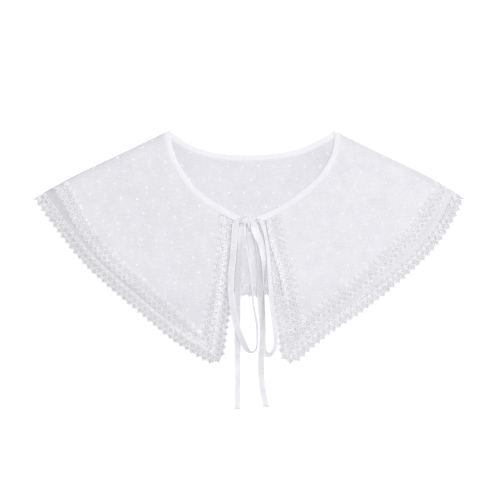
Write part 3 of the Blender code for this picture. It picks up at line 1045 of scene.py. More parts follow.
BACK_VOILE = Voile("voile, back", (0.584, 0.578, 0.620), (0.942, 0.936, 0.980), BACK_ROWS)
TUFTS = {
    "back": Thread("dot cotton, back", (0.800, 0.800, 0.830), (0.900, 0.898, 0.925), 0.6 * MM),
    "left": Thread("dot cotton, left", (0.815, 0.815, 0.845), (0.925, 0.923, 0.950), 0.6 * MM),
    "right": Thread("dot cotton, right", (0.790, 0.788, 0.822), (0.870, 0.866, 0.900), 0.6 * MM),
}
LACE_THREADS = {
    "back": Thread("lace thread, back", (0.800, 0.792, 0.834), (1.000, 0.990, 1.000), 1.5 * MM, 2.4),
    "left": Thread("lace thread, left", (0.815, 0.807, 0.850), (1.000, 0.988, 1.000), 1.5 * MM, 3.0),
    "right": Thread("lace thread, right", (0.785, 0.776, 0.812), (1.000, 0.988, 1.000), 1.5 * MM, 3.0),
}
STITCH = Thread("sewing thread", dark=(0.62, 0.62, 0.65), light=(0.78, 0.78, 0.80), grain=0.5 * MM)
BIAS_TAPE = Tape("binding cotton", dark=(0.775, 0.768, 0.805), light=(0.895, 0.888, 0.925))
TIE_TAPE = Tape("tie tape", dark=(0.640, 0.633, 0.672), light=(0.925, 0.918, 0.960))
# A lighter copy of the tie tape for the knot: painted light that offsets the shading of its curves.
LIT_KNOT_TAPE = Tape("knot tape", dark=(0.722, 0.715, 0.752), light=(0.868, 0.861, 0.898))


@dataclass
class DotField:
    """The rows of small cotton tufts woven into the voile.

    Tufts are a pitch apart along a row, and each row is half a pitch further on than the one before.
    """

    rows: Rows
    finish: Thread
    radius: float = 1.25 * MM
    rise: float = 0.30 * MM
    scatter: float = 0.45 * MM
    rows_out: int = 24
    seed: int = 5
    sides: int = 9
    sizes: tuple = (0.62, 1.15)
    unevenness: tuple = (0.86, 1.10)
    ring_reaches: tuple = (1.0, 0.86, 0.50)
    ring_rises: tuple = (0.62, 0.96)
    foot_depth: float = 0.06 * MM

    def places(self, outline: Array) -> Array:
        """Plan positions of the tufts inside an outline."""
        number = np.arange(-self.rows_out, self.rows_out + 1)
        across, along = np.meshgrid(number, number, indexing="ij")
        u = (along + 0.5 * (across % 2)) * self.rows.pitch
        v = across * self.rows.row
        turn = math.radians(self.rows.bearing)
        x = self.rows.anchor[0] * MM + u * math.cos(turn) - v * math.sin(turn)
        y = self.rows.anchor[1] * MM + u * math.sin(turn) + v * math.cos(turn)
        plan = np.column_stack([x.ravel(), y.ravel()])
        plan += np.random.default_rng(self.seed).normal(0, self.scatter, plan.shape)
        return plan[inside_outline(outline, plan)]

    def tufts(self, plan: Array, heights: Array) -> Surface:
        """A tuft at each place: an uneven dome of three rings and a crown, closed below.

        Args:
            plan: where the tufts are.
            heights: height of the cloth's face at each.

        Returns:
            All the tufts as one surface.
        """
        random = np.random.default_rng(self.seed + 1)
        sides = self.sides
        angle = np.linspace(0, 2 * math.pi, sides, endpoint=False)
        count = len(plan)
        size = self.radius * random.uniform(*self.sizes, (count, 1, 1))
        uneven = random.uniform(*self.unevenness, (count, 1, sides))
        reach = np.array(self.ring_reaches)[None, :, None] * size * uneven
        lift = np.array((-self.foot_depth, *(share * self.rise for share in self.ring_rises)))[None, :, None]
        x = plan[:, 0, None, None] + reach * np.cos(angle)
        y = plan[:, 1, None, None] + reach * np.sin(angle)
        z = np.broadcast_to(heights[:, None, None] + lift, x.shape)
        rings = np.stack([x, y, z], axis=-1)
        crown = np.column_stack([plan, heights + self.rise])[:, None, :]
        points = np.concatenate([rings.reshape(count, -1, 3), crown], axis=1)
        starts = (np.arange(count) * points.shape[1])[:, None, None]
        walls = (grid_quads(3, sides, wrap_rows=True)[None] + starts).reshape(-1, 4)
        side = np.arange(sides)
        fan = np.column_stack([side + 2 * sides, (side + 1) % sides + 2 * sides, np.full(sides, 3 * sides)])
        tops = (fan[None] + starts).reshape(-1, 3)
        base = (side[::-1][None, None, :] + starts).reshape(-1, sides)
        return Surface(points.reshape(-1, 3), [walls[:, ::-1], tops, base])


@dataclass(frozen=True)
class FrontLooks:
    """What sets the looks and the cut of one front apart from the other's.

    Painted shade darkens the cloth under the applied lace by a level, which swells from its middle on and
    fades at its outer edge.
    """

    voile: Voile
    dots: DotField
    lace: Thread
    flat: tuple[float, float]
    area: float
    heading_highlight: float
    slip_backdrop_and_shade: tuple[float, float]
    strip_shade: float
    shade_under_lace: tuple[float, float, float]


FRONT_DARK, FRONT_LIGHT = (0.600, 0.594, 0.634), (0.965, 0.958, 1.000)
FRONT_LOOKS = {
    "left": FrontLooks(
        voile=Voile("voile, left front", FRONT_DARK, FRONT_LIGHT, LEFT_ROWS, 0.15),
        dots=DotField(LEFT_ROWS, TUFTS["left"], seed=11),
        lace=LACE_THREADS["left"],
        flat=(0.196, 0.237),
        area=0.0242,
        heading_highlight=0.55,
        slip_backdrop_and_shade=(0.70, 0.50),
        strip_shade=-0.70,
        shade_under_lace=(1.0, 0.0, 0.0),
    ),
    "right": FrontLooks(
        voile=Voile("voile, right front", FRONT_DARK, FRONT_LIGHT, RIGHT_ROWS, 0.04),
        dots=DotField(RIGHT_ROWS, TUFTS["right"], seed=17),
        lace=LACE_THREADS["right"],
        flat=(0.203, 0.235),
        area=0.0240,
        heading_highlight=0.0,
        slip_backdrop_and_shade=(0.77, 0.60),
        strip_shade=-0.20,
        shade_under_lace=(0.7, 0.5, 0.6),
    ),
}


@dataclass(frozen=True)
class FrontTone:
    """Painted light and shade on a front's cloth: painted shade along the shoulder fold, beside its edges,
    under its lace and under the lace veil by the lower centre front, darker towards the bottom, and painted
    light that makes the right front lighter than the left.

    Reaches and spans are in metres: of how far from a line or a place a tone goes, or where it changes.
    """

    front: FrontPlan
    looks: FrontLooks
    fold_shade: float = -0.5
    fold_reach: float = 5.5 * MM
    strip_span: tuple = (5 * MM, 10 * MM)
    lighter_at_fold: float = 0.4
    lighter_fold_reach: float = 12 * MM
    lighter_at_tip: float = 0.9
    tip_reach: float = 20 * MM
    lace_start: tuple = (-1 * MM, 1.5 * MM)
    lace_end: tuple = (4 * MM, 9 * MM)
    swell_span: tuple = (4.5 * MM, 7 * MM)
    fade_span: tuple = (9.5 * MM, 12 * MM)
    lower_span: tuple = (30 * MM, 70 * MM)
    lower_tone: float = -0.28
    veiled_span: tuple = (6 * MM, 10 * MM)
    veiled_tone: float = -0.6
    light_by_side: float = 0.06

    def __call__(self, plan: Array) -> Array:
        """The tone at points on the plan."""
        front, side = self.front, self.front.edges.side
        lines = (front.fold, front.hem, front.centre, front.band_hem, front.band_centre)
        fold, hem, centre, band_hem, band_centre = (depth_inside(edge[::6], side, plan) for edge in lines)
        edge = np.minimum(hem, centre)
        outside = -np.minimum(band_hem, band_centre)
        to_tip = np.linalg.norm(plan - front.hem[-1], axis=1)
        # Painted shade along the shoulder fold.
        pressed = self.fold_shade * np.exp(-((fold / self.fold_reach) ** 2))
        # Painted shade on the plain strip beside the hem and the centre front, lighter near the fold and the
        # tip.
        strip = self.looks.strip_shade * (1 - smooth_step(edge, *self.strip_span))
        strip *= 1 - self.lighter_at_fold * np.exp(-((fold / self.lighter_fold_reach) ** 2))
        strip *= 1 - self.lighter_at_tip * np.exp(-((to_tip / self.tip_reach) ** 4))
        # Painted shade on the cloth under the applied lace.
        level, swell, fade = self.looks.shade_under_lace
        shade_under_lace = smooth_step(outside, *self.lace_start) * smooth_step(edge, *self.lace_end)
        shade_under_lace *= level + swell * smooth_step(outside, *self.swell_span)
        shade_under_lace *= 1 - fade * smooth_step(outside, *self.fade_span)
        # Darker towards the bottom, with painted shade under the lace veil by the centre front.
        lower = smooth_step(-plan[:, 1], *self.lower_span)
        veiled = lower * (1 - smooth_step(centre, *self.veiled_span))
        by_place = pressed + strip - shade_under_lace + self.lower_tone * lower + self.veiled_tone * veiled
        # Painted light: the right front a little lighter, the left a little darker.
        return by_place + self.light_by_side * side


@dataclass(frozen=True)
class BackShade:
    """Painted shade on the back's cloth: soft dark spots near the shoulder corners of the neck, each with
    its x, y and reach in millimetres and its tone.
    """

    spots: tuple = ((82.0, 96.0, 26, -0.45), (-78.0, 100.0, 18, -0.30))

    def __call__(self, plan: Array) -> Array:
        """The tone at points on the plan."""
        return sum(
            tone * np.exp(-(((plan - np.array((x, y)) * MM) / (reach * MM)) ** 2).sum(axis=1))
            for x, y, reach, tone in self.spots
        )


@dataclass
class VoilePanel:
    """A panel of voile: a thin shell on its solid's form, with its creases, and its woven tufts.

    A roll gives distances in millimetres from the fold, where the cloth bends down over it.
    """

    name: str
    node: str
    finish: Voile
    dots: DotField
    flat: tuple[float, float]
    area: float
    roll: tuple = (0.0, 0.15, 0.4, 0.8, 1.3, 1.9, 2.6)
    thickness: float = 0.28 * MM
    step: float = 2.2 * MM
    tufts: list[bpy.types.Object] = field(default_factory=list)

    def shares(self, length: float) -> Array:
        """Even shares of an edge's length."""
        return np.linspace(0.0, 1.0, round(length / self.step) + 1)

    def rolled_shares(self, length: float) -> Array:
        """Shares of an edge's length, closer where the cloth rolls over the fold that the edge starts at."""
        even = self.shares(length)
        if not self.roll:
            return even
        roll = np.array(self.roll) * MM / length
        return np.concatenate([roll, even[even > roll[-1] + 0.5 * MM / length]])

    def build(
        self, edges: tuple[Array, Array, Array, Array], level: OverPlan, tone: OverPlan, outline: Array
    ) -> bpy.types.Object:
        """Makes the panel and its tufts.

        Args:
            edges: the neck, the hem, and the panel's two ends, each from the neck out.
            level: gives the height of the cloth's middle at points on the plan.
            tone: gives how much lighter or darker the cloth is at points on the plan.
            outline: the panel's outline, which the tufts stay in.

        Returns:
            The panel's object.
        """
        neck, hem, start, end = edges
        along = self.rolled_shares(lengths(hem)[-1])
        down = self.shares(lengths(start)[-1])
        sides = (at_shares(neck, along), at_shares(hem, along), at_shares(start, down), at_shares(end, down))
        plan = patch(*sides).reshape(-1, 2)
        points = np.column_stack([plan, level(plan)])
        quads = grid_quads(len(along), len(down))
        first, second, third = points[quads[:, 0]], points[quads[:, 1]], points[quads[:, 2]]
        facing = np.cross(second - first, third - first)[:, 2].sum()
        surface = Surface(points, [quads if facing > 0 else quads[:, ::-1]])
        panel = add_piece(self.name, surface, self.finish.material(), Slot.VOILE)
        paint(panel, tone(plan))
        shell = panel.modifiers.new("cloth", "SOLIDIFY")
        shell.thickness = self.thickness
        shell.offset = 0.0
        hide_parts(self.node)
        places = self.dots.places(outline)
        tufts = self.dots.tufts(places, level(places) + self.thickness / 2)
        self.tufts.append(add_piece(self.name + "_dots", tufts, self.dots.finish.material(), Slot.VOILE))
        return panel


@dataclass(frozen=True)
class Strand:
    """One thread in a repeat of the lace: places along the heading and outwards from it, in millimetres."""

    route: Array
    radius: float


@dataclass(frozen=True)
class LacePattern:
    """One repeat of the lace, in millimetres: u along the heading, v outwards from it.

    An opening with its base to the heading lies in the middle of the repeat. At each end of the repeat is
    half of a wheel, a spoked ring in a pointed outline, which makes the tooth. From heading_cord to fine are
    half the widths of the threads.
    """

    pitch: float = 7.2
    opening: tuple = ((3.6, 2.0), (1.3, 2.0), (0.45, 2.5), (0.55, 4.3), (1.5, 6.2), (3.6, 7.6))
    wheel_middle: float = 10.0
    wheel_radii: tuple = (3.5, 3.6)
    wheel_power: float = 1.3
    inner_radius: float = 1.55
    spoke_shares: tuple = (0.12, 0.37, 0.63, 0.88)
    picot_shares: tuple = (0.60, 0.76, 0.92)
    picot_reach: float = 0.5
    heading: tuple = (-0.98, 0.98)
    heading_cord: float = 0.46
    wheel_cord: float = 0.46
    opening_cord: float = 0.42
    veil_cord: float = 0.40
    ring_cord: float = 0.36
    veil_edge: float = 0.34
    bar: float = 0.30
    net_edge: float = 0.27
    picot: float = 0.26
    cross: float = 0.24
    spoke: float = 0.20
    lacing: float = 0.18
    fine: float = 0.16

    def mirrored(self, route: Array) -> Array:
        """A route turned over about the middle of the repeat."""
        return np.column_stack([self.pitch - route[:, 0], route[:, 1]])

    def both(self, route: Array | tuple, radius: float) -> list[Strand]:
        """A strand and its mirror image."""
        route = np.asarray(route, float)
        return [Strand(route, radius), Strand(self.mirrored(route), radius)]

    def half_ring(self, radii: tuple, power: float, count: int) -> Array:
        """Half of a ring about the wheel's middle: an ellipse whose corners are set by its power."""
        angle = np.linspace(-math.pi / 2, math.pi / 2, count)
        bend = 2.0 / power
        u = radii[0] * np.abs(np.cos(angle)) ** bend
        v = self.wheel_middle + radii[1] * keeping_sign(np.sin(angle), bend)
        return np.column_stack([u, v])

    def zigzag(self, count: int, near: float, far: float, radius: float) -> list[Strand]:
        """A zigzag along the repeat, as a strand for each of its turns, between two distances out."""
        span = self.pitch / count
        return [
            Strand(np.array([(start, near), (start + span / 2, far), (start + span, near)]), radius)
            for start in np.arange(0, self.pitch, span)
        ]

    def wheel(self) -> list[Strand]:
        """The half wheels at both ends of the repeat: outline, ring, spokes and picots."""
        outline = self.half_ring(self.wheel_radii, self.wheel_power, 11)
        ring = self.half_ring((self.inner_radius, self.inner_radius), 2.0, 7)
        strands = self.both(outline, self.wheel_cord) + self.both(ring, self.ring_cord)
        middle = np.array((0.0, self.wheel_middle))
        for share in self.spoke_shares:
            rim = at_shares(outline, np.array([share]))[0]
            hub = at_shares(ring, np.array([share]))[0]
            strands += self.both((hub, (hub + rim) / 2, rim), self.spoke)
        for share in self.picot_shares:
            rim = at_shares(outline, np.array([share]))[0]
            out = self.picot_reach * unit(rim - middle)
            strands += self.both((rim, rim + out / 2, rim + out), self.picot)
        return strands

    def net(self) -> list[Strand]:
        """The net round the opening: its outline, and a bar between the wheels."""
        outline = at_shares(np.array(self.opening), np.linspace(0, 1, 10))
        strands = self.both(outline, self.opening_cord)
        strands.append(Strand(np.array([(3.6, 7.6), (3.6, 8.4), (3.6, 9.4)]), self.bar))
        return strands

    def veil(self) -> list[Strand]:
        """A plain net on the inner side of the heading, where the trim covers the strip beside it."""
        strands = []
        for start in (0.0, 3.6):
            strands += self.both(((start, -0.8), (start + 1.8, -3.0), (start + 3.6, -5.2)), self.veil_cord)
        strands.append(Strand(np.array([(0.0, -5.4), (3.6, -5.4), (self.pitch, -5.4)]), self.veil_edge))
        return strands

    def heading_lines(self) -> list[Strand]:
        """The double line of the heading, with threads laced between its two cords."""
        along = np.linspace(0, self.pitch, 4)
        lines = [np.column_stack([along, np.full(4, reach)]) for reach in self.heading]
        cords = [Strand(points, self.heading_cord) for points in lines]
        return cords + self.zigzag(6, *self.heading, self.lacing)

    def inner_net(self) -> list[Strand]:
        """What an applied band has besides: a narrow net inside its heading, and crosses in its openings."""
        along = np.linspace(0, self.pitch, 3)
        strands = [Strand(np.column_stack([along, np.full(3, -2.6)]), self.net_edge)]
        for pair in zip(self.zigzag(5, -0.6, -2.6, self.lacing), self.zigzag(5, -2.5, -1.6, self.fine)):
            strands += pair
        for start in np.arange(0.4, self.pitch, self.pitch / 4):
            loop = np.array([(start, -2.6), (start + 0.5, -3.9), (start + 1.2, -2.6)])
            strands.append(Strand(loop, self.fine))
        strands += self.both(((1.1, 2.5), (3.6, 4.4), (5.9, 6.1)), self.cross)
        strands.append(Strand(np.array([(0.6, 3.7), (3.6, 4.1), (6.6, 3.7)]), self.spoke))
        return strands


@dataclass
class LaceTrim:
    """A run of lace sewn along a line, thread by thread.

    Applied lace lies on the cloth, and the other lace beside its edge. Veil spans are the shares of the run
    where its veil is worked too. The heading's tone is a painted highlight. A slip is a grey strip of the
    stage
    under it, which stands in for the grey backdrop seen through the openings, with a tone for each of its
    edges:
    the outer one darker, as painted shade under the teeth.
    """

    name: str
    node: str
    run: Run
    start_reach: float
    level: OverPlan
    applied: bool
    finish: Thread
    heading_highlight: float = 0.0
    veil_spans: tuple = ()
    slip_backdrop_and_shade: tuple = (0.76, 0.58)
    slip_at_tooth: float = 12.9 * MM
    slip_at_dip: float = 9.6 * MM
    pattern: LacePattern = LacePattern()
    wobble: float = 0.16 * MM
    wobble_waves: tuple = ((900, 310, 0.4), (-270, 1040, 2.1))
    weave: float = 0.05 * MM
    weave_wave: tuple = (1500.0, -1300.0)
    weave_phase: float = 1.9
    pressed: float = 0.34
    cloth_face: float = 0.16 * MM
    edge_drop: float = 0.30 * MM
    edge_span: tuple = (0.3 * MM, 1.6 * MM)
    marks: Array = field(init=False)
    count: int = field(init=False)
    step: float = field(init=False)

    def __post_init__(self) -> None:
        """Works out how many whole repeats fit, measured where the teeth begin."""
        self.marks = lengths(offset(self.run, self.start_reach + LACE_SPACING_REACH))
        self.count = round(self.marks[-1] / (self.pattern.pitch * MM))
        self.step = self.marks[-1] / self.count

    def moved(self, repeats: Array, reach: Array | float) -> Array:
        """Places on the plan: so many repeats along the run, and a reach out from where the lace starts."""
        distance = repeats * self.step
        base = looked_up(distance, self.marks, self.run.points)
        return base + (self.start_reach + reach) * looked_up(distance, self.marks, self.run.across)

    def plan(self, route: Array) -> Array:
        """A strand's places on the plan in every repeat: repeats by points by 2."""
        repeats = np.arange(self.count)[:, None] + route[None, :, 0] / self.pattern.pitch
        plan = self.moved(repeats, route[None, :, 1:] * MM)
        shift = [np.sin(plan @ np.array((a, b)) + phase) for a, b, phase in self.wobble_waves]
        return plan + self.wobble * np.stack(shift, axis=-1)

    def centres(self, strand: Strand, number: int) -> Array:
        """A strand's middle line in every repeat, lying on the cloth or beside its edge."""
        plan = self.plan(strand.route)
        base = self.level(plan.reshape(-1, 2)).reshape(plan.shape[:2])
        lift = self.cloth_face + self.pressed * strand.radius * MM
        if not self.applied:
            lift = lift - self.edge_drop * smooth_step(strand.route[None, :, 1] * MM, *self.edge_span)
        weave = self.weave * np.sin(plan @ np.array(self.weave_wave) + self.weave_phase * number)
        return np.concatenate([plan, (base + lift + weave)[:, :, None]], axis=2)

    def worked(self, strands: list[Strand], cells: slice = slice(None)) -> list[Surface]:
        """Some strands of the pattern as threads, in all the run's repeats or in a slice of them."""
        return [
            threads(self.centres(strand, number)[cells], strand.radius * MM, self.pressed)
            for number, strand in enumerate(strands)
        ]

    def build(self) -> bpy.types.Object:
        """Makes the trim's threads as one piece."""
        heading = self.pattern.heading_lines()
        strands = heading + self.pattern.net() + self.pattern.wheel()
        if self.applied:
            strands += self.pattern.inner_net()
        parts = self.worked(strands)
        heading_points = sum(len(part.points) for part in parts[: len(heading)])
        for span in self.veil_spans:
            cells = slice(*(round(share * self.count) for share in span))
            parts += self.worked(self.pattern.veil(), cells)
        surface = merged(parts)
        trim = add_piece(self.name, surface, self.finish.material(), Slot.LACE)
        # The heading's points get a painted highlight.
        paint(trim, np.where(np.arange(len(surface.points)) < heading_points, self.heading_highlight, 0.0))
        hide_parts(self.node)
        return trim

    def slip(self, height: float) -> Surface:
        """A strip of surface inside the lace's outline, reaching further under each tooth.

        Args:
            height: its height over the surface that the collar rests on.

        Returns:
            The strip, with a point on its inner and on its outer edge in turn.
        """
        half_repeats = np.arange(2 * self.count + 1)
        reach = np.where(half_repeats % 2 == 0, self.slip_at_tooth, self.slip_at_dip)
        edges = [self.moved(half_repeats / 2, out) for out in (0.0, reach[:, None])]
        points = np.stack(edges, axis=1).reshape(-1, 2)
        points = np.column_stack([points, np.full(len(points), height)])
        return Surface(points, [grid_quads(len(half_repeats), 2)])


@dataclass
class NeckBinding:
    """A stretch of bias binding folded over the neck edge, with a row of stitches along its outer edge.

    Its section is an ellipse, squared up by two powers, with a groove along the stitches and fine puckers.
    """

    name: str
    node: str
    run: Run
    level: OverPlan
    droop: float = 0.0
    droop_start: tuple = (1.0 * MM, 1.8 * MM)
    half_wall: float = 0.50 * MM
    step: float = 1.5 * MM
    profile_points: int = 22
    profile_powers: tuple = (0.5, 0.6)
    groove: float = 0.16 * MM
    groove_reach: float = 0.4 * MM
    pucker: float = 0.07 * MM
    pucker_pitch: float = 4.3 * MM
    pucker_slant: float = 0.8
    stitch_reach: float = 2.75 * MM
    stitch_length: float = 1.9 * MM
    stitch_gap: float = 0.6 * MM
    stitch_radius: float = 0.14 * MM
    stitch_margin: float = 2 * MM
    stitch_height: float = 0.8
    stitch_rise: tuple = (-0.12, 0.05, 0.05, -0.12)

    def build(self) -> list[bpy.types.Object]:
        """Makes the binding and its stitches.

        Returns:
            The binding and the row of stitches.
        """
        total = lengths(self.run.points)[-1]
        shares = np.linspace(0, 1, round(total / self.step) + 1)
        base = at_shares(self.run.points, shares)
        marks = lengths(self.run.points) / total
        across = looked_up(shares, marks, self.run.across)
        angle = np.linspace(0, 2 * math.pi, self.profile_points, endpoint=False)
        upper = np.sin(angle) > 0
        half_width = BINDING_WIDTH / 2
        aside = half_width * keeping_sign(np.cos(angle), self.profile_powers[0])
        above = self.half_wall * keeping_sign(np.sin(angle), self.profile_powers[1])
        groove = self.groove * np.exp(-(((aside - self.stitch_reach) / self.groove_reach) ** 2)) * upper
        plan = base[:, None, :] + aside[None, :, None] * across[:, None, :]
        middle = self.level(base)[:, None]
        turns = 2 * math.pi * (shares * total)[:, None] / self.pucker_pitch
        puckers = self.pucker * np.sin(turns + aside[None, :] / MM * self.pucker_slant)
        over_back = smooth_step(middle, *self.droop_start)
        settled = self.droop * over_back * np.clip(-aside / half_width, 0.0, 1.0) ** 2
        z = middle + above - groove - settled + puckers * upper
        rings = np.concatenate([plan, z[:, :, None]], axis=2)
        binding = add_piece(self.name, swept(rings[None], uv=True), BIAS_TAPE.material(), Slot.TAPE)
        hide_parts(self.node)
        return [binding, self.stitches(total, marks)]

    def stitches(self, total: float, marks: Array) -> bpy.types.Object:
        """Makes the row of straight stitches.

        Args:
            total: length of the run.
            marks: where its points are, as shares of that length.

        Returns:
            The stitches as one piece.
        """
        pitch = self.stitch_length + self.stitch_gap
        starts = np.arange(self.stitch_margin, total - self.stitch_margin - pitch, pitch)
        along = np.linspace(0, self.stitch_length, len(self.stitch_rise))
        shares = (starts[:, None] + along[None, :]) / total
        base = looked_up(shares, marks, self.run.points)
        plan = base + self.stitch_reach * looked_up(shares, marks, self.run.across)
        face = self.level(base.reshape(-1, 2)).reshape(shares.shape) + self.half_wall * self.stitch_height
        height = face + np.array(self.stitch_rise) * MM
        row = threads(np.concatenate([plan, height[:, :, None]], axis=2), self.stitch_radius)
        return add_piece(self.name + "_stitches", row, STITCH.material(), Slot.TAPE)


@dataclass
class TieTape:
    """A stretch of the tie: flat tape with firm rounded edges, carried along its route.

    It is tilted by an eased share of its table's tilt. A flare is how much broader it is where it starts.
    """

    name: str
    node: str
    table: tuple
    length: float
    far_end: str
    # Painted light and shade along the tape: millimetres along it, and the tone there.
    tones: tuple = ((0, 0.0),)
    slant: float = 0.0
    eased: float = 0.25
    flare: float = 0.0
    step: float = 1.8
    half_wall: float = 0.30 * MM
    edge_radius: float = 0.42 * MM
    edge_reach: float = 0.55 * MM
    profile_points: int = 28
    profile_powers: tuple = (0.62, 0.45)
    flare_span: tuple = (8.0, 30.0)
    least_breadth: float = 0.2
    breadth_power: float = 1.3
    wander: float = 0.10 * MM
    wander_turns: tuple = (0.31, 0.25)
    dish: float = 0.18 * MM
    dish_turns: tuple = (0.043, 0.6)
    slant_run: float = 6 * MM
    least_height: float = 0.02 * MM
    root_overlap: float = 1.2 * MM
    gather: float = 0.22 * MM
    gathers: float = 4.5

    def root(self, target: tuple, narrowing: float, bend: float = 3.0 * MM, end: bool = False) -> Surface:
        """The gathered stretch that leads from one end of the tape into the knot.

        Its middle line is the curve with three handles: the tape's end, a place straight ahead of it, and
        the target. The tape's section goes along it, growing narrower and gathered into small ridges.

        Args:
            target: where it goes into the knot, in millimetres.
            narrowing: its width there, as a share of the tape's.
            bend: how far ahead the middle handle is.
            end: whether it leads on from the far end of the tape.

        Returns:
            The stretch, closed at both ends.
        """
        middle, along, across, _ = self.frames()
        place, ahead, aside = middle[0], -along[0], across[0]
        if end:
            place, ahead, aside = middle[-1], along[-1], across[-1]
        share = np.linspace(0.0, 1.0, 12)[:, None]
        handles = (place - self.root_overlap * ahead, place + bend * ahead, np.array(target) * MM)
        weights = ((1 - share) ** 2, 2 * share * (1 - share), share**2)
        curve = sum(weight * handle for weight, handle in zip(weights, handles))
        forward = unit(np.gradient(curve, axis=0))
        level = np.array((math.copysign(1.0, aside[0]), 0.0, 0.0))
        spread = unit((1 - share) * aside + share * level)
        spread = unit(spread - np.sum(spread * forward, axis=1, keepdims=True) * forward)
        through = np.cross(forward, spread)
        wide, out = self.profile()
        width = self.breadth()[-1 if end else 0]
        width = width + (narrowing - width) * share
        gathers = self.gather * share * np.cos(self.gathers * math.pi * wide / TAPE_WIDTH)[None, :]
        rings = (
            curve[:, None, :]
            + (width * wide[None, :])[:, :, None] * spread[:, None, :]
            + (out[None, :] + gathers)[:, :, None] * through[:, None, :]
        )
        return swept(rings[None], uv=True)

    def breadth(self) -> Array:
        """The tape's breadth at each point as a share of its width, less where it lies folded along itself.

        The fold takes up what the eased tilt gives back, so that from above the breadth is the same.
        """
        tilt = np.radians(spline(self.table, self.step)[:, 3])
        share = np.abs(np.cos(tilt)) / np.maximum(np.abs(np.cos(self.eased * tilt)), 0.1)
        if self.eased < 1:
            return np.clip(share, self.least_breadth, 1.0) ** self.breadth_power
        return 1 + self.flare * (1 - smooth_step(np.arange(len(tilt)) * self.step, *self.flare_span))

    def frames(self) -> tuple[Array, Array, Array, Array]:
        """Middle line, and at each point the directions along, across and through the tape."""
        rows = spline(self.table, self.step)
        middle = rows[:, :3] * MM
        along = unit(np.gradient(middle, axis=0))
        level = unit(np.cross(along, (0.0, 0.0, 1.0)))
        up = np.cross(level, along)
        tilt = np.radians(self.eased * rows[:, 3])[:, None]
        across = np.cos(tilt) * level + np.sin(tilt) * up
        return middle, along, across, np.cross(along, across)

    def profile(self) -> tuple[Array, Array]:
        """The tape's section: an even wall that swells into a round cord at each edge."""
        angle = np.linspace(0, 2 * math.pi, self.profile_points, endpoint=False)
        aside = TAPE_WIDTH / 2 * keeping_sign(np.cos(angle), self.profile_powers[0])
        to_edge = TAPE_WIDTH / 2 - self.edge_radius
        swell = np.exp(-(((np.abs(aside) - to_edge) / self.edge_reach) ** 2))
        wall = self.half_wall + (self.edge_radius - self.half_wall) * swell
        return aside, wall * keeping_sign(np.sin(angle), self.profile_powers[1])

    def build(self) -> bpy.types.Object:
        middle, along, across, through = self.frames()
        aside, out = self.profile()
        marks = lengths(middle)[:, None]
        along_turns, aside_turns = self.wander_turns
        wander = self.wander * np.sin(marks / MM * along_turns + aside[None, :] / MM * aside_turns)
        dish_turns, dish_start = self.dish_turns
        dish = self.dish * (1 - (aside / (TAPE_WIDTH / 2)) ** 2)[None, :]
        dish = dish * np.cos(marks / MM * dish_turns + dish_start)
        near_end = smooth_step(marks, marks[-1, 0] - self.slant_run, marks[-1, 0])
        slant = math.tan(math.radians(self.slant)) * aside[None, :] * near_end
        rings = (
            middle[:, None, :]
            + (self.breadth()[:, None] * aside[None, :])[:, :, None] * across[:, None, :]
            + (out[None, :] + wander + dish)[:, :, None] * through[:, None, :]
            + slant[:, :, None] * along[:, None, :]
        )
        rings[:, :, 2] = np.maximum(rings[:, :, 2], self.least_height)
        tape = add_piece(self.name, swept(rings[None], uv=True), TIE_TAPE.material(), Slot.TAPE)
        distances, tones = zip(*self.tones)
        paint(tape, np.repeat(np.interp(marks[:, 0] / MM, distances, tones), self.profile_points))
        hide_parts(self.node)
        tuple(middle[0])
        return tape


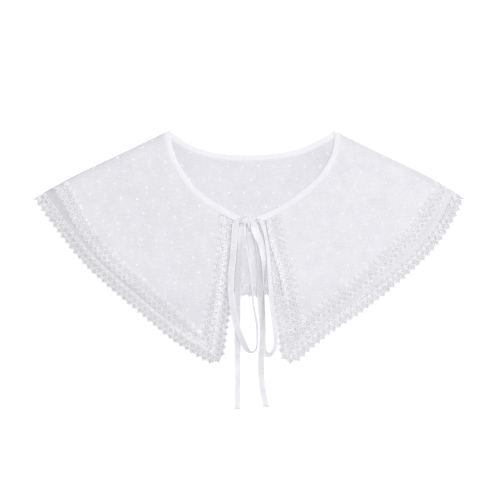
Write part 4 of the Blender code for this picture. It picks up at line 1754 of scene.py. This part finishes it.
@dataclass
class TieKnot:
    """The knot of the bow: a gathered core in line with the binding, and a crumpled wrap across it."""

    roots: list[Surface]
    name: str = "knot"
    node: str = "tie_knot"
    middle: tuple = (-0.2 * MM, 28.2 * MM, 3.3 * MM)
    half_length: float = 10.2 * MM
    half_depth: float = 3.25 * MM
    half_height: float = 2.0 * MM
    end_height: float = 0.80 * MM
    end_drop: float = 1.15 * MM
    end_margin: float = 0.1 * MM
    thinning: tuple = (0.35, 0.92)
    gathers: tuple = ((0.05, 7, 1.3), (0.03, 11, -2.2))
    bow: float = 0.6 * MM
    wrap_place: float = -4.9 * MM
    wrap_slant: float = 0.9 * MM
    wrap_lift: float = 0.25 * MM
    wrap_half_width: float = 2.7 * MM
    wrap_fold: float = 0.16 * MM
    wrap_inside: float = 0.84
    wrap_length: float = 24 * MM
    point_fold: tuple = ((-0.6, 26.2, 4.5), (0.7, 17.6, 3.2), 1.7, 0.12)

    def core(self) -> Surface:
        """A bar along X, fullest in its middle, that runs out flat over the ends of the binding."""
        along = np.linspace(-1, 1, 49)[:, None]
        angle = np.linspace(0, 2 * math.pi, 56, endpoint=False)[None, :]
        full = 1 - smooth_step(np.abs(along), *self.thinning)
        waves = (size * np.sin(count * angle + twist * along) for size, count, twist in self.gathers)
        gather = 1 + full * sum(waves)
        end_depth = BINDING_WIDTH / 2 + self.end_margin
        deep = self.half_depth + (end_depth - self.half_depth) * (1 - full)
        high = self.end_height + (self.half_height - self.end_height) * full
        x = self.middle[0] + self.half_length * along + 0 * angle
        y = self.middle[1] + self.bow * along**2 + deep * gather * np.cos(angle)
        z = self.middle[2] - self.end_drop * (1 - full) + high * gather * keeping_sign(np.sin(angle), 0.75)
        return swept(np.stack([x, y, z], axis=-1)[None], uv=True)

    def wrap(self) -> Surface:
        """A band round the core, aslant, with lengthwise folds, broader where it comes out below."""
        turn = np.linspace(0, 2 * math.pi, 57)
        width = np.linspace(-1, 1, 19)
        angle, across = np.meshgrid(turn, width, indexing="ij")
        fold = self.wrap_fold * np.cos(3.4 * math.pi * across + 0.7 * np.sin(angle)) * (1 - across**2)
        grow = 1.14 - 0.14 * across**2
        spread = 1.0 - 0.22 * np.cos(angle)
        x = self.middle[0] + self.wrap_place + self.wrap_half_width * across * spread
        x = x + self.wrap_slant * np.cos(angle)
        y = self.middle[1] + (self.half_depth * grow + fold) * np.cos(angle) + self.wrap_lift
        z = self.middle[2] + (self.half_height * grow + fold) * np.sin(angle)
        outer = np.stack([x, y, z], axis=-1)
        centre = np.array(self.middle[1:])
        inward = outer.copy()
        inward[:, :, 1:] = centre + (outer[:, :, 1:] - centre) * self.wrap_inside
        ring = np.concatenate([outer, inward[:, ::-1]], axis=1)[:-1]
        count, sides, _ = ring.shape
        quads = grid_quads(count, sides, wrap_columns=True, wrap_rows=True)
        uv = map_quads(np.linspace(0, self.wrap_length, count + 1), sides)
        return Surface(ring.reshape(-1, 3), [quads], [uv]).turned_out()

    def fold(self, start: tuple, end: tuple, near: float, far: float) -> Surface:
        """A small flat fold of tape that comes out below the knot, its width changing evenly along it.

        Args:
            start: its middle where it leaves the knot, in millimetres.
            end: its middle at its far end.
            near: half its width at the start.
            far: half its width at the end.

        Returns:
            The fold, closed at both ends.
        """
        share = np.linspace(0.0, 1.0, 10)[:, None]
        angle = np.linspace(0, 2 * math.pi, 16, endpoint=False)[None, :]
        middle = (np.array(start) + (np.array(end) - np.array(start)) * share) * MM
        half_width = (near + (far - near) * share) * MM
        x = middle[:, :1] + half_width * np.cos(angle)
        y = middle[:, 1:2] + 0 * angle
        crease = 0.22 * MM * np.cos(angle) ** 2 * (1 - share)
        z = middle[:, 2:] + 0.32 * MM * np.sin(angle) + crease
        return swept(np.stack([x, y, z], axis=-1)[None], uv=True)

    def build(self) -> bpy.types.Object:
        """Makes the knot as one piece."""
        surface = merged([self.core(), self.wrap(), self.fold(*self.point_fold), *self.roots])
        knot = add_piece(self.name, surface, LIT_KNOT_TAPE.material(), Slot.TAPE)
        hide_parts(self.node)
        return knot


@dataclass
class Studio:
    """The pale floor, the soft light and the camera straight above."""

    camera_x: float = 0.86 * MM
    camera_y: float = -3.5 * MM
    camera_height: float = 2.5
    sensor: float = 36.0
    frame_width: float = 0.54
    camera_end: float = 20.0
    floor_size: float = 14.0
    floor_tones: tuple[float, float] = (0.85, 0.87)
    floor_glow: float = 0.30
    slip_step: float = 0.015 * MM
    slip_tint: Colour = (1.0, 0.99, 1.04)
    white: Colour = (1.0, 1.0, 1.0)
    mottle: float = 0.1
    mottle_size: float = 0.3
    key_azimuth: float = 30.0
    key_elevation: float = 45.0
    key_distance: float = 2.8
    key_size: float = 2.2
    key_power: float = 29.5
    top_strength: float = 2.0
    top_angle: float = 22.0
    sky_strength: float = 0.27

    def floor(self) -> None:
        """A wide pale floor, a little bright of itself, as paper on a light table."""
        half = self.floor_size / 2
        corners = np.array([(-half, -half, 0.0), (half, -half, 0.0), (half, half, 0.0), (-half, half, 0.0)])
        surface = Surface(corners, [np.array([[0, 1, 2, 3]])])
        self.stage_piece("floor", surface, self.floor_tones, self.white, self.floor_glow)

    def slips(self, trims: list[LaceTrim]) -> None:
        """Narrow grey strips of the floor under the openings of the outer lace: they stand in for the grey
        backdrop, and darken outwards as painted shade under the teeth.
        """
        for number, trim in enumerate(trims, start=1):
            slip = trim.slip(self.slip_step * number)
            piece = self.stage_piece(f"grey_slip_{trim.node}", slip, trim.slip_backdrop_and_shade, self.slip_tint)
            # Painted shade: each strip's outer edge is painted darker than its inner one.
            paint(piece, np.tile((0.0, 1.0), len(slip.points) // 2))

    def stage_piece(
        self, name: str, surface: Surface, tones: tuple[float, float], tint: Colour, glow: float = 0.0
    ) -> bpy.types.Object:
        """Makes one piece of the stage.

        Args:
            name: its name.
            surface: its mesh.
            tones: its brightness where it is unpainted, and where it is painted.
            tint: the colour of both tones.
            glow: how much it shines of itself.

        Returns:
            Its object.
        """
        shading = Shading(name, roughness=0.95)
        unevenness = shading.noise(shading.coordinates(), self.mottle_size)
        mottle = shading.math("MULTIPLY", unevenness, self.mottle)
        dark, light = (tuple(tone * part for part in tint) for tone in tones)
        shading.colour(shading.math("ADD", shading.painted(), mottle), dark, light)
        shading.shader.inputs["Emission Color"].default_value = (*self.white, 1.0)
        shading.shader.inputs["Emission Strength"].default_value = glow
        piece = new_object(name, surface, shading.material)
        return piece

    def lights(self) -> None:
        """A white sky all round, a soft light straight above, and a broad soft key from the right."""
        world = bpy.data.worlds.new("white sky")
        world.use_nodes = True
        sky = world.node_tree.nodes["Background"]
        sky.inputs["Color"].default_value = (*self.white, 1.0)
        sky.inputs["Strength"].default_value = self.sky_strength
        bpy.context.scene.world = world
        key = bpy.data.lights.new("key", "AREA")
        key.energy = self.key_power
        key.size = self.key_size
        lamp = bpy.data.objects.new("key", key)
        rise, turn = math.radians(self.key_elevation), math.radians(self.key_azimuth)
        flat = self.key_distance * math.cos(rise)
        lamp.location = (flat * math.cos(turn), flat * math.sin(turn), self.key_distance * math.sin(rise))
        lamp.rotation_euler = (0.0, math.radians(90 - self.key_elevation), turn)
        lamp.visible_camera = False
        bpy.context.scene.collection.objects.link(lamp)
        top = bpy.data.lights.new("top", "SUN")
        top.energy = self.top_strength
        top.angle = math.radians(self.top_angle)
        bpy.context.scene.collection.objects.link(bpy.data.objects.new("top", top))

    def camera(self) -> None:
        """A long lens straight above, whose frame is as wide as the photograph's."""
        data = bpy.data.cameras.new("camera")
        data.sensor_width = self.sensor
        data.lens = self.sensor * self.camera_height / self.frame_width
        data.clip_end = self.camera_end
        camera = bpy.data.objects.new("camera", data)
        camera.location = (self.camera_x, self.camera_y, self.camera_height)
        bpy.context.scene.collection.objects.link(camera)
        bpy.context.scene.camera = camera

    def build(self, trims: list[LaceTrim]) -> None:
        """Sets the stage."""
        scene = bpy.context.scene
        scene.view_settings.view_transform = "Standard"
        self.floor()
        self.slips(trims)
        self.lights()
        self.camera()


@dataclass
class Collar:
    """The whole collar: three panels of voile, their lace, the neck binding and the tie."""

    lay: Lay = Lay()
    binding_lift: float = 0.02 * MM
    binding_droop: float = 0.55 * MM
    veil_spans: tuple = ((0.54, 0.60), (0.65, 1.0))

    def front(self, plan: FrontPlan, looks: FrontLooks) -> LaceTrim:
        """Makes one front with its lace and its binding.

        Args:
            plan: the front's lines.
            looks: what sets its looks and its cut apart.

        Returns:
            Its outer lace, which the stage is set under.
        """
        label = plan.edges.label

        def level(points: Array) -> Array:
            """Height of the middle of the cloth."""
            return self.lay.front(points, plan)

        def binding_level(points: Array) -> Array:
            """Height of the middle of the binding, which goes over the cloth's edge."""
            return level(points) + self.binding_lift

        fold = between(plan.fold, plan.neck[0], plan.hem[0])
        edges = (plan.neck, plan.hem, fold, plan.centre[::-1])
        panel = VoilePanel(
            f"voile_front_{label}", f"front_{label}", looks.voile, looks.dots, looks.flat, looks.area
        )
        cloth = panel.build(edges, level, FrontTone(plan, looks), plan.bare_outline())
        edging = LaceTrim(
            f"lace_edging_{label}",
            f"edging_{label}",
            plan.edging(),
            GAP,
            level,
            applied=False,
            finish=looks.lace,
            heading_highlight=looks.heading_highlight,
            veil_spans=self.veil_spans,
            slip_backdrop_and_shade=looks.slip_backdrop_and_shade,
        )
        band = LaceTrim(f"lace_band_{label}", f"band_{label}", plan.band(), 0.0, level, True, looks.lace)
        binding = NeckBinding(
            f"binding_{label}", f"neck_binding_{label}", plan.binding, binding_level, self.binding_droop
        )
        others = [edging.build(), band.build(), *binding.build()]
        return edging

    def back(self, plan: BackPlan) -> LaceTrim:
        """Makes the back with its edging and its stretch of binding, and gives its outer lace."""
        level = self.lay.back
        dots = DotField(BACK_ROWS, TUFTS["back"])
        panel = VoilePanel("voile_back", "back_panel", BACK_VOILE, dots, (0.443, 0.163), 0.0467, roll=())
        # The back's tone is painted shade near the shoulder corners.
        cloth = panel.build((plan.neck, plan.hem, *plan.folds), level, BackShade(), plan.outline())
        run = mitred(run_along(plan.hem, -1), *plan.ends)
        edging = LaceTrim("lace_edging_back", "edging_back", run, GAP, level, False, LACE_THREADS["back"])
        binding = NeckBinding("binding_back", "neck_binding_back", plan.binding, level)
        edging.build()
        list(binding.build())
        return edging

    def tie(self) -> None:
        """Makes the knot and the four stretches of tape."""
        specs = (
            ("left_loop", LEFT_LOOP, 0.288, "object", LEFT_LOOP_LIGHT_AND_SHADE),
            ("left_tail", LEFT_TAIL, 0.199, "bare", LEFT_TAIL_LIGHT_AND_SHADE),
            ("right_loop", RIGHT_LOOP, 0.290, "object", RIGHT_LOOP_LIGHT_AND_SHADE),
            ("right_tail", RIGHT_TAIL, 0.199, "bare", RIGHT_TAIL_LIGHT_AND_SHADE, 28.0, 1.0, 0.2),
        )
        tapes = [TieTape(f"tape_{name}", f"tie_{name}", *rest) for name, *rest in specs]
        left_loop, left_tail, right_loop, right_tail = tapes
        roots = [
            left_loop.root((-8.8, 31.2, 5.0), 0.14, bend=1.2 * MM),
            left_loop.root((-4.0, 28.6, 4.9), 0.6, end=True),
            left_tail.root((-5.2, 28.4, 4.6), 0.72, bend=2.0 * MM),
            right_loop.root((7.4, 29.6, 4.2), 0.45),
            right_loop.root((4.4, 28.0, 2.9), 0.7, end=True),
            right_tail.root((4.6, 28.4, 4.4), 0.5),
        ]
        TieKnot(roots).build()
        for tape in tapes:
            tape.build()

    def build(self) -> list[LaceTrim]:
        """Makes every piece, and gives the outer lace of the hem."""
        left, right = FrontPlan.of(LEFT), FrontPlan.of(RIGHT)
        trims = [self.back(BackPlan.of(left, right))]
        trims += [self.front(plan, FRONT_LOOKS[plan.edges.label]) for plan in (left, right)]
        self.tie()
        return trims


def main() -> None:
    """Builds the collar and its stage."""
    logging.basicConfig(level=logging.INFO, format="%(name)s: %(message)s")
    trims = Collar().build()
    Studio().build(trims)


if __name__ == "__main__":
    main()
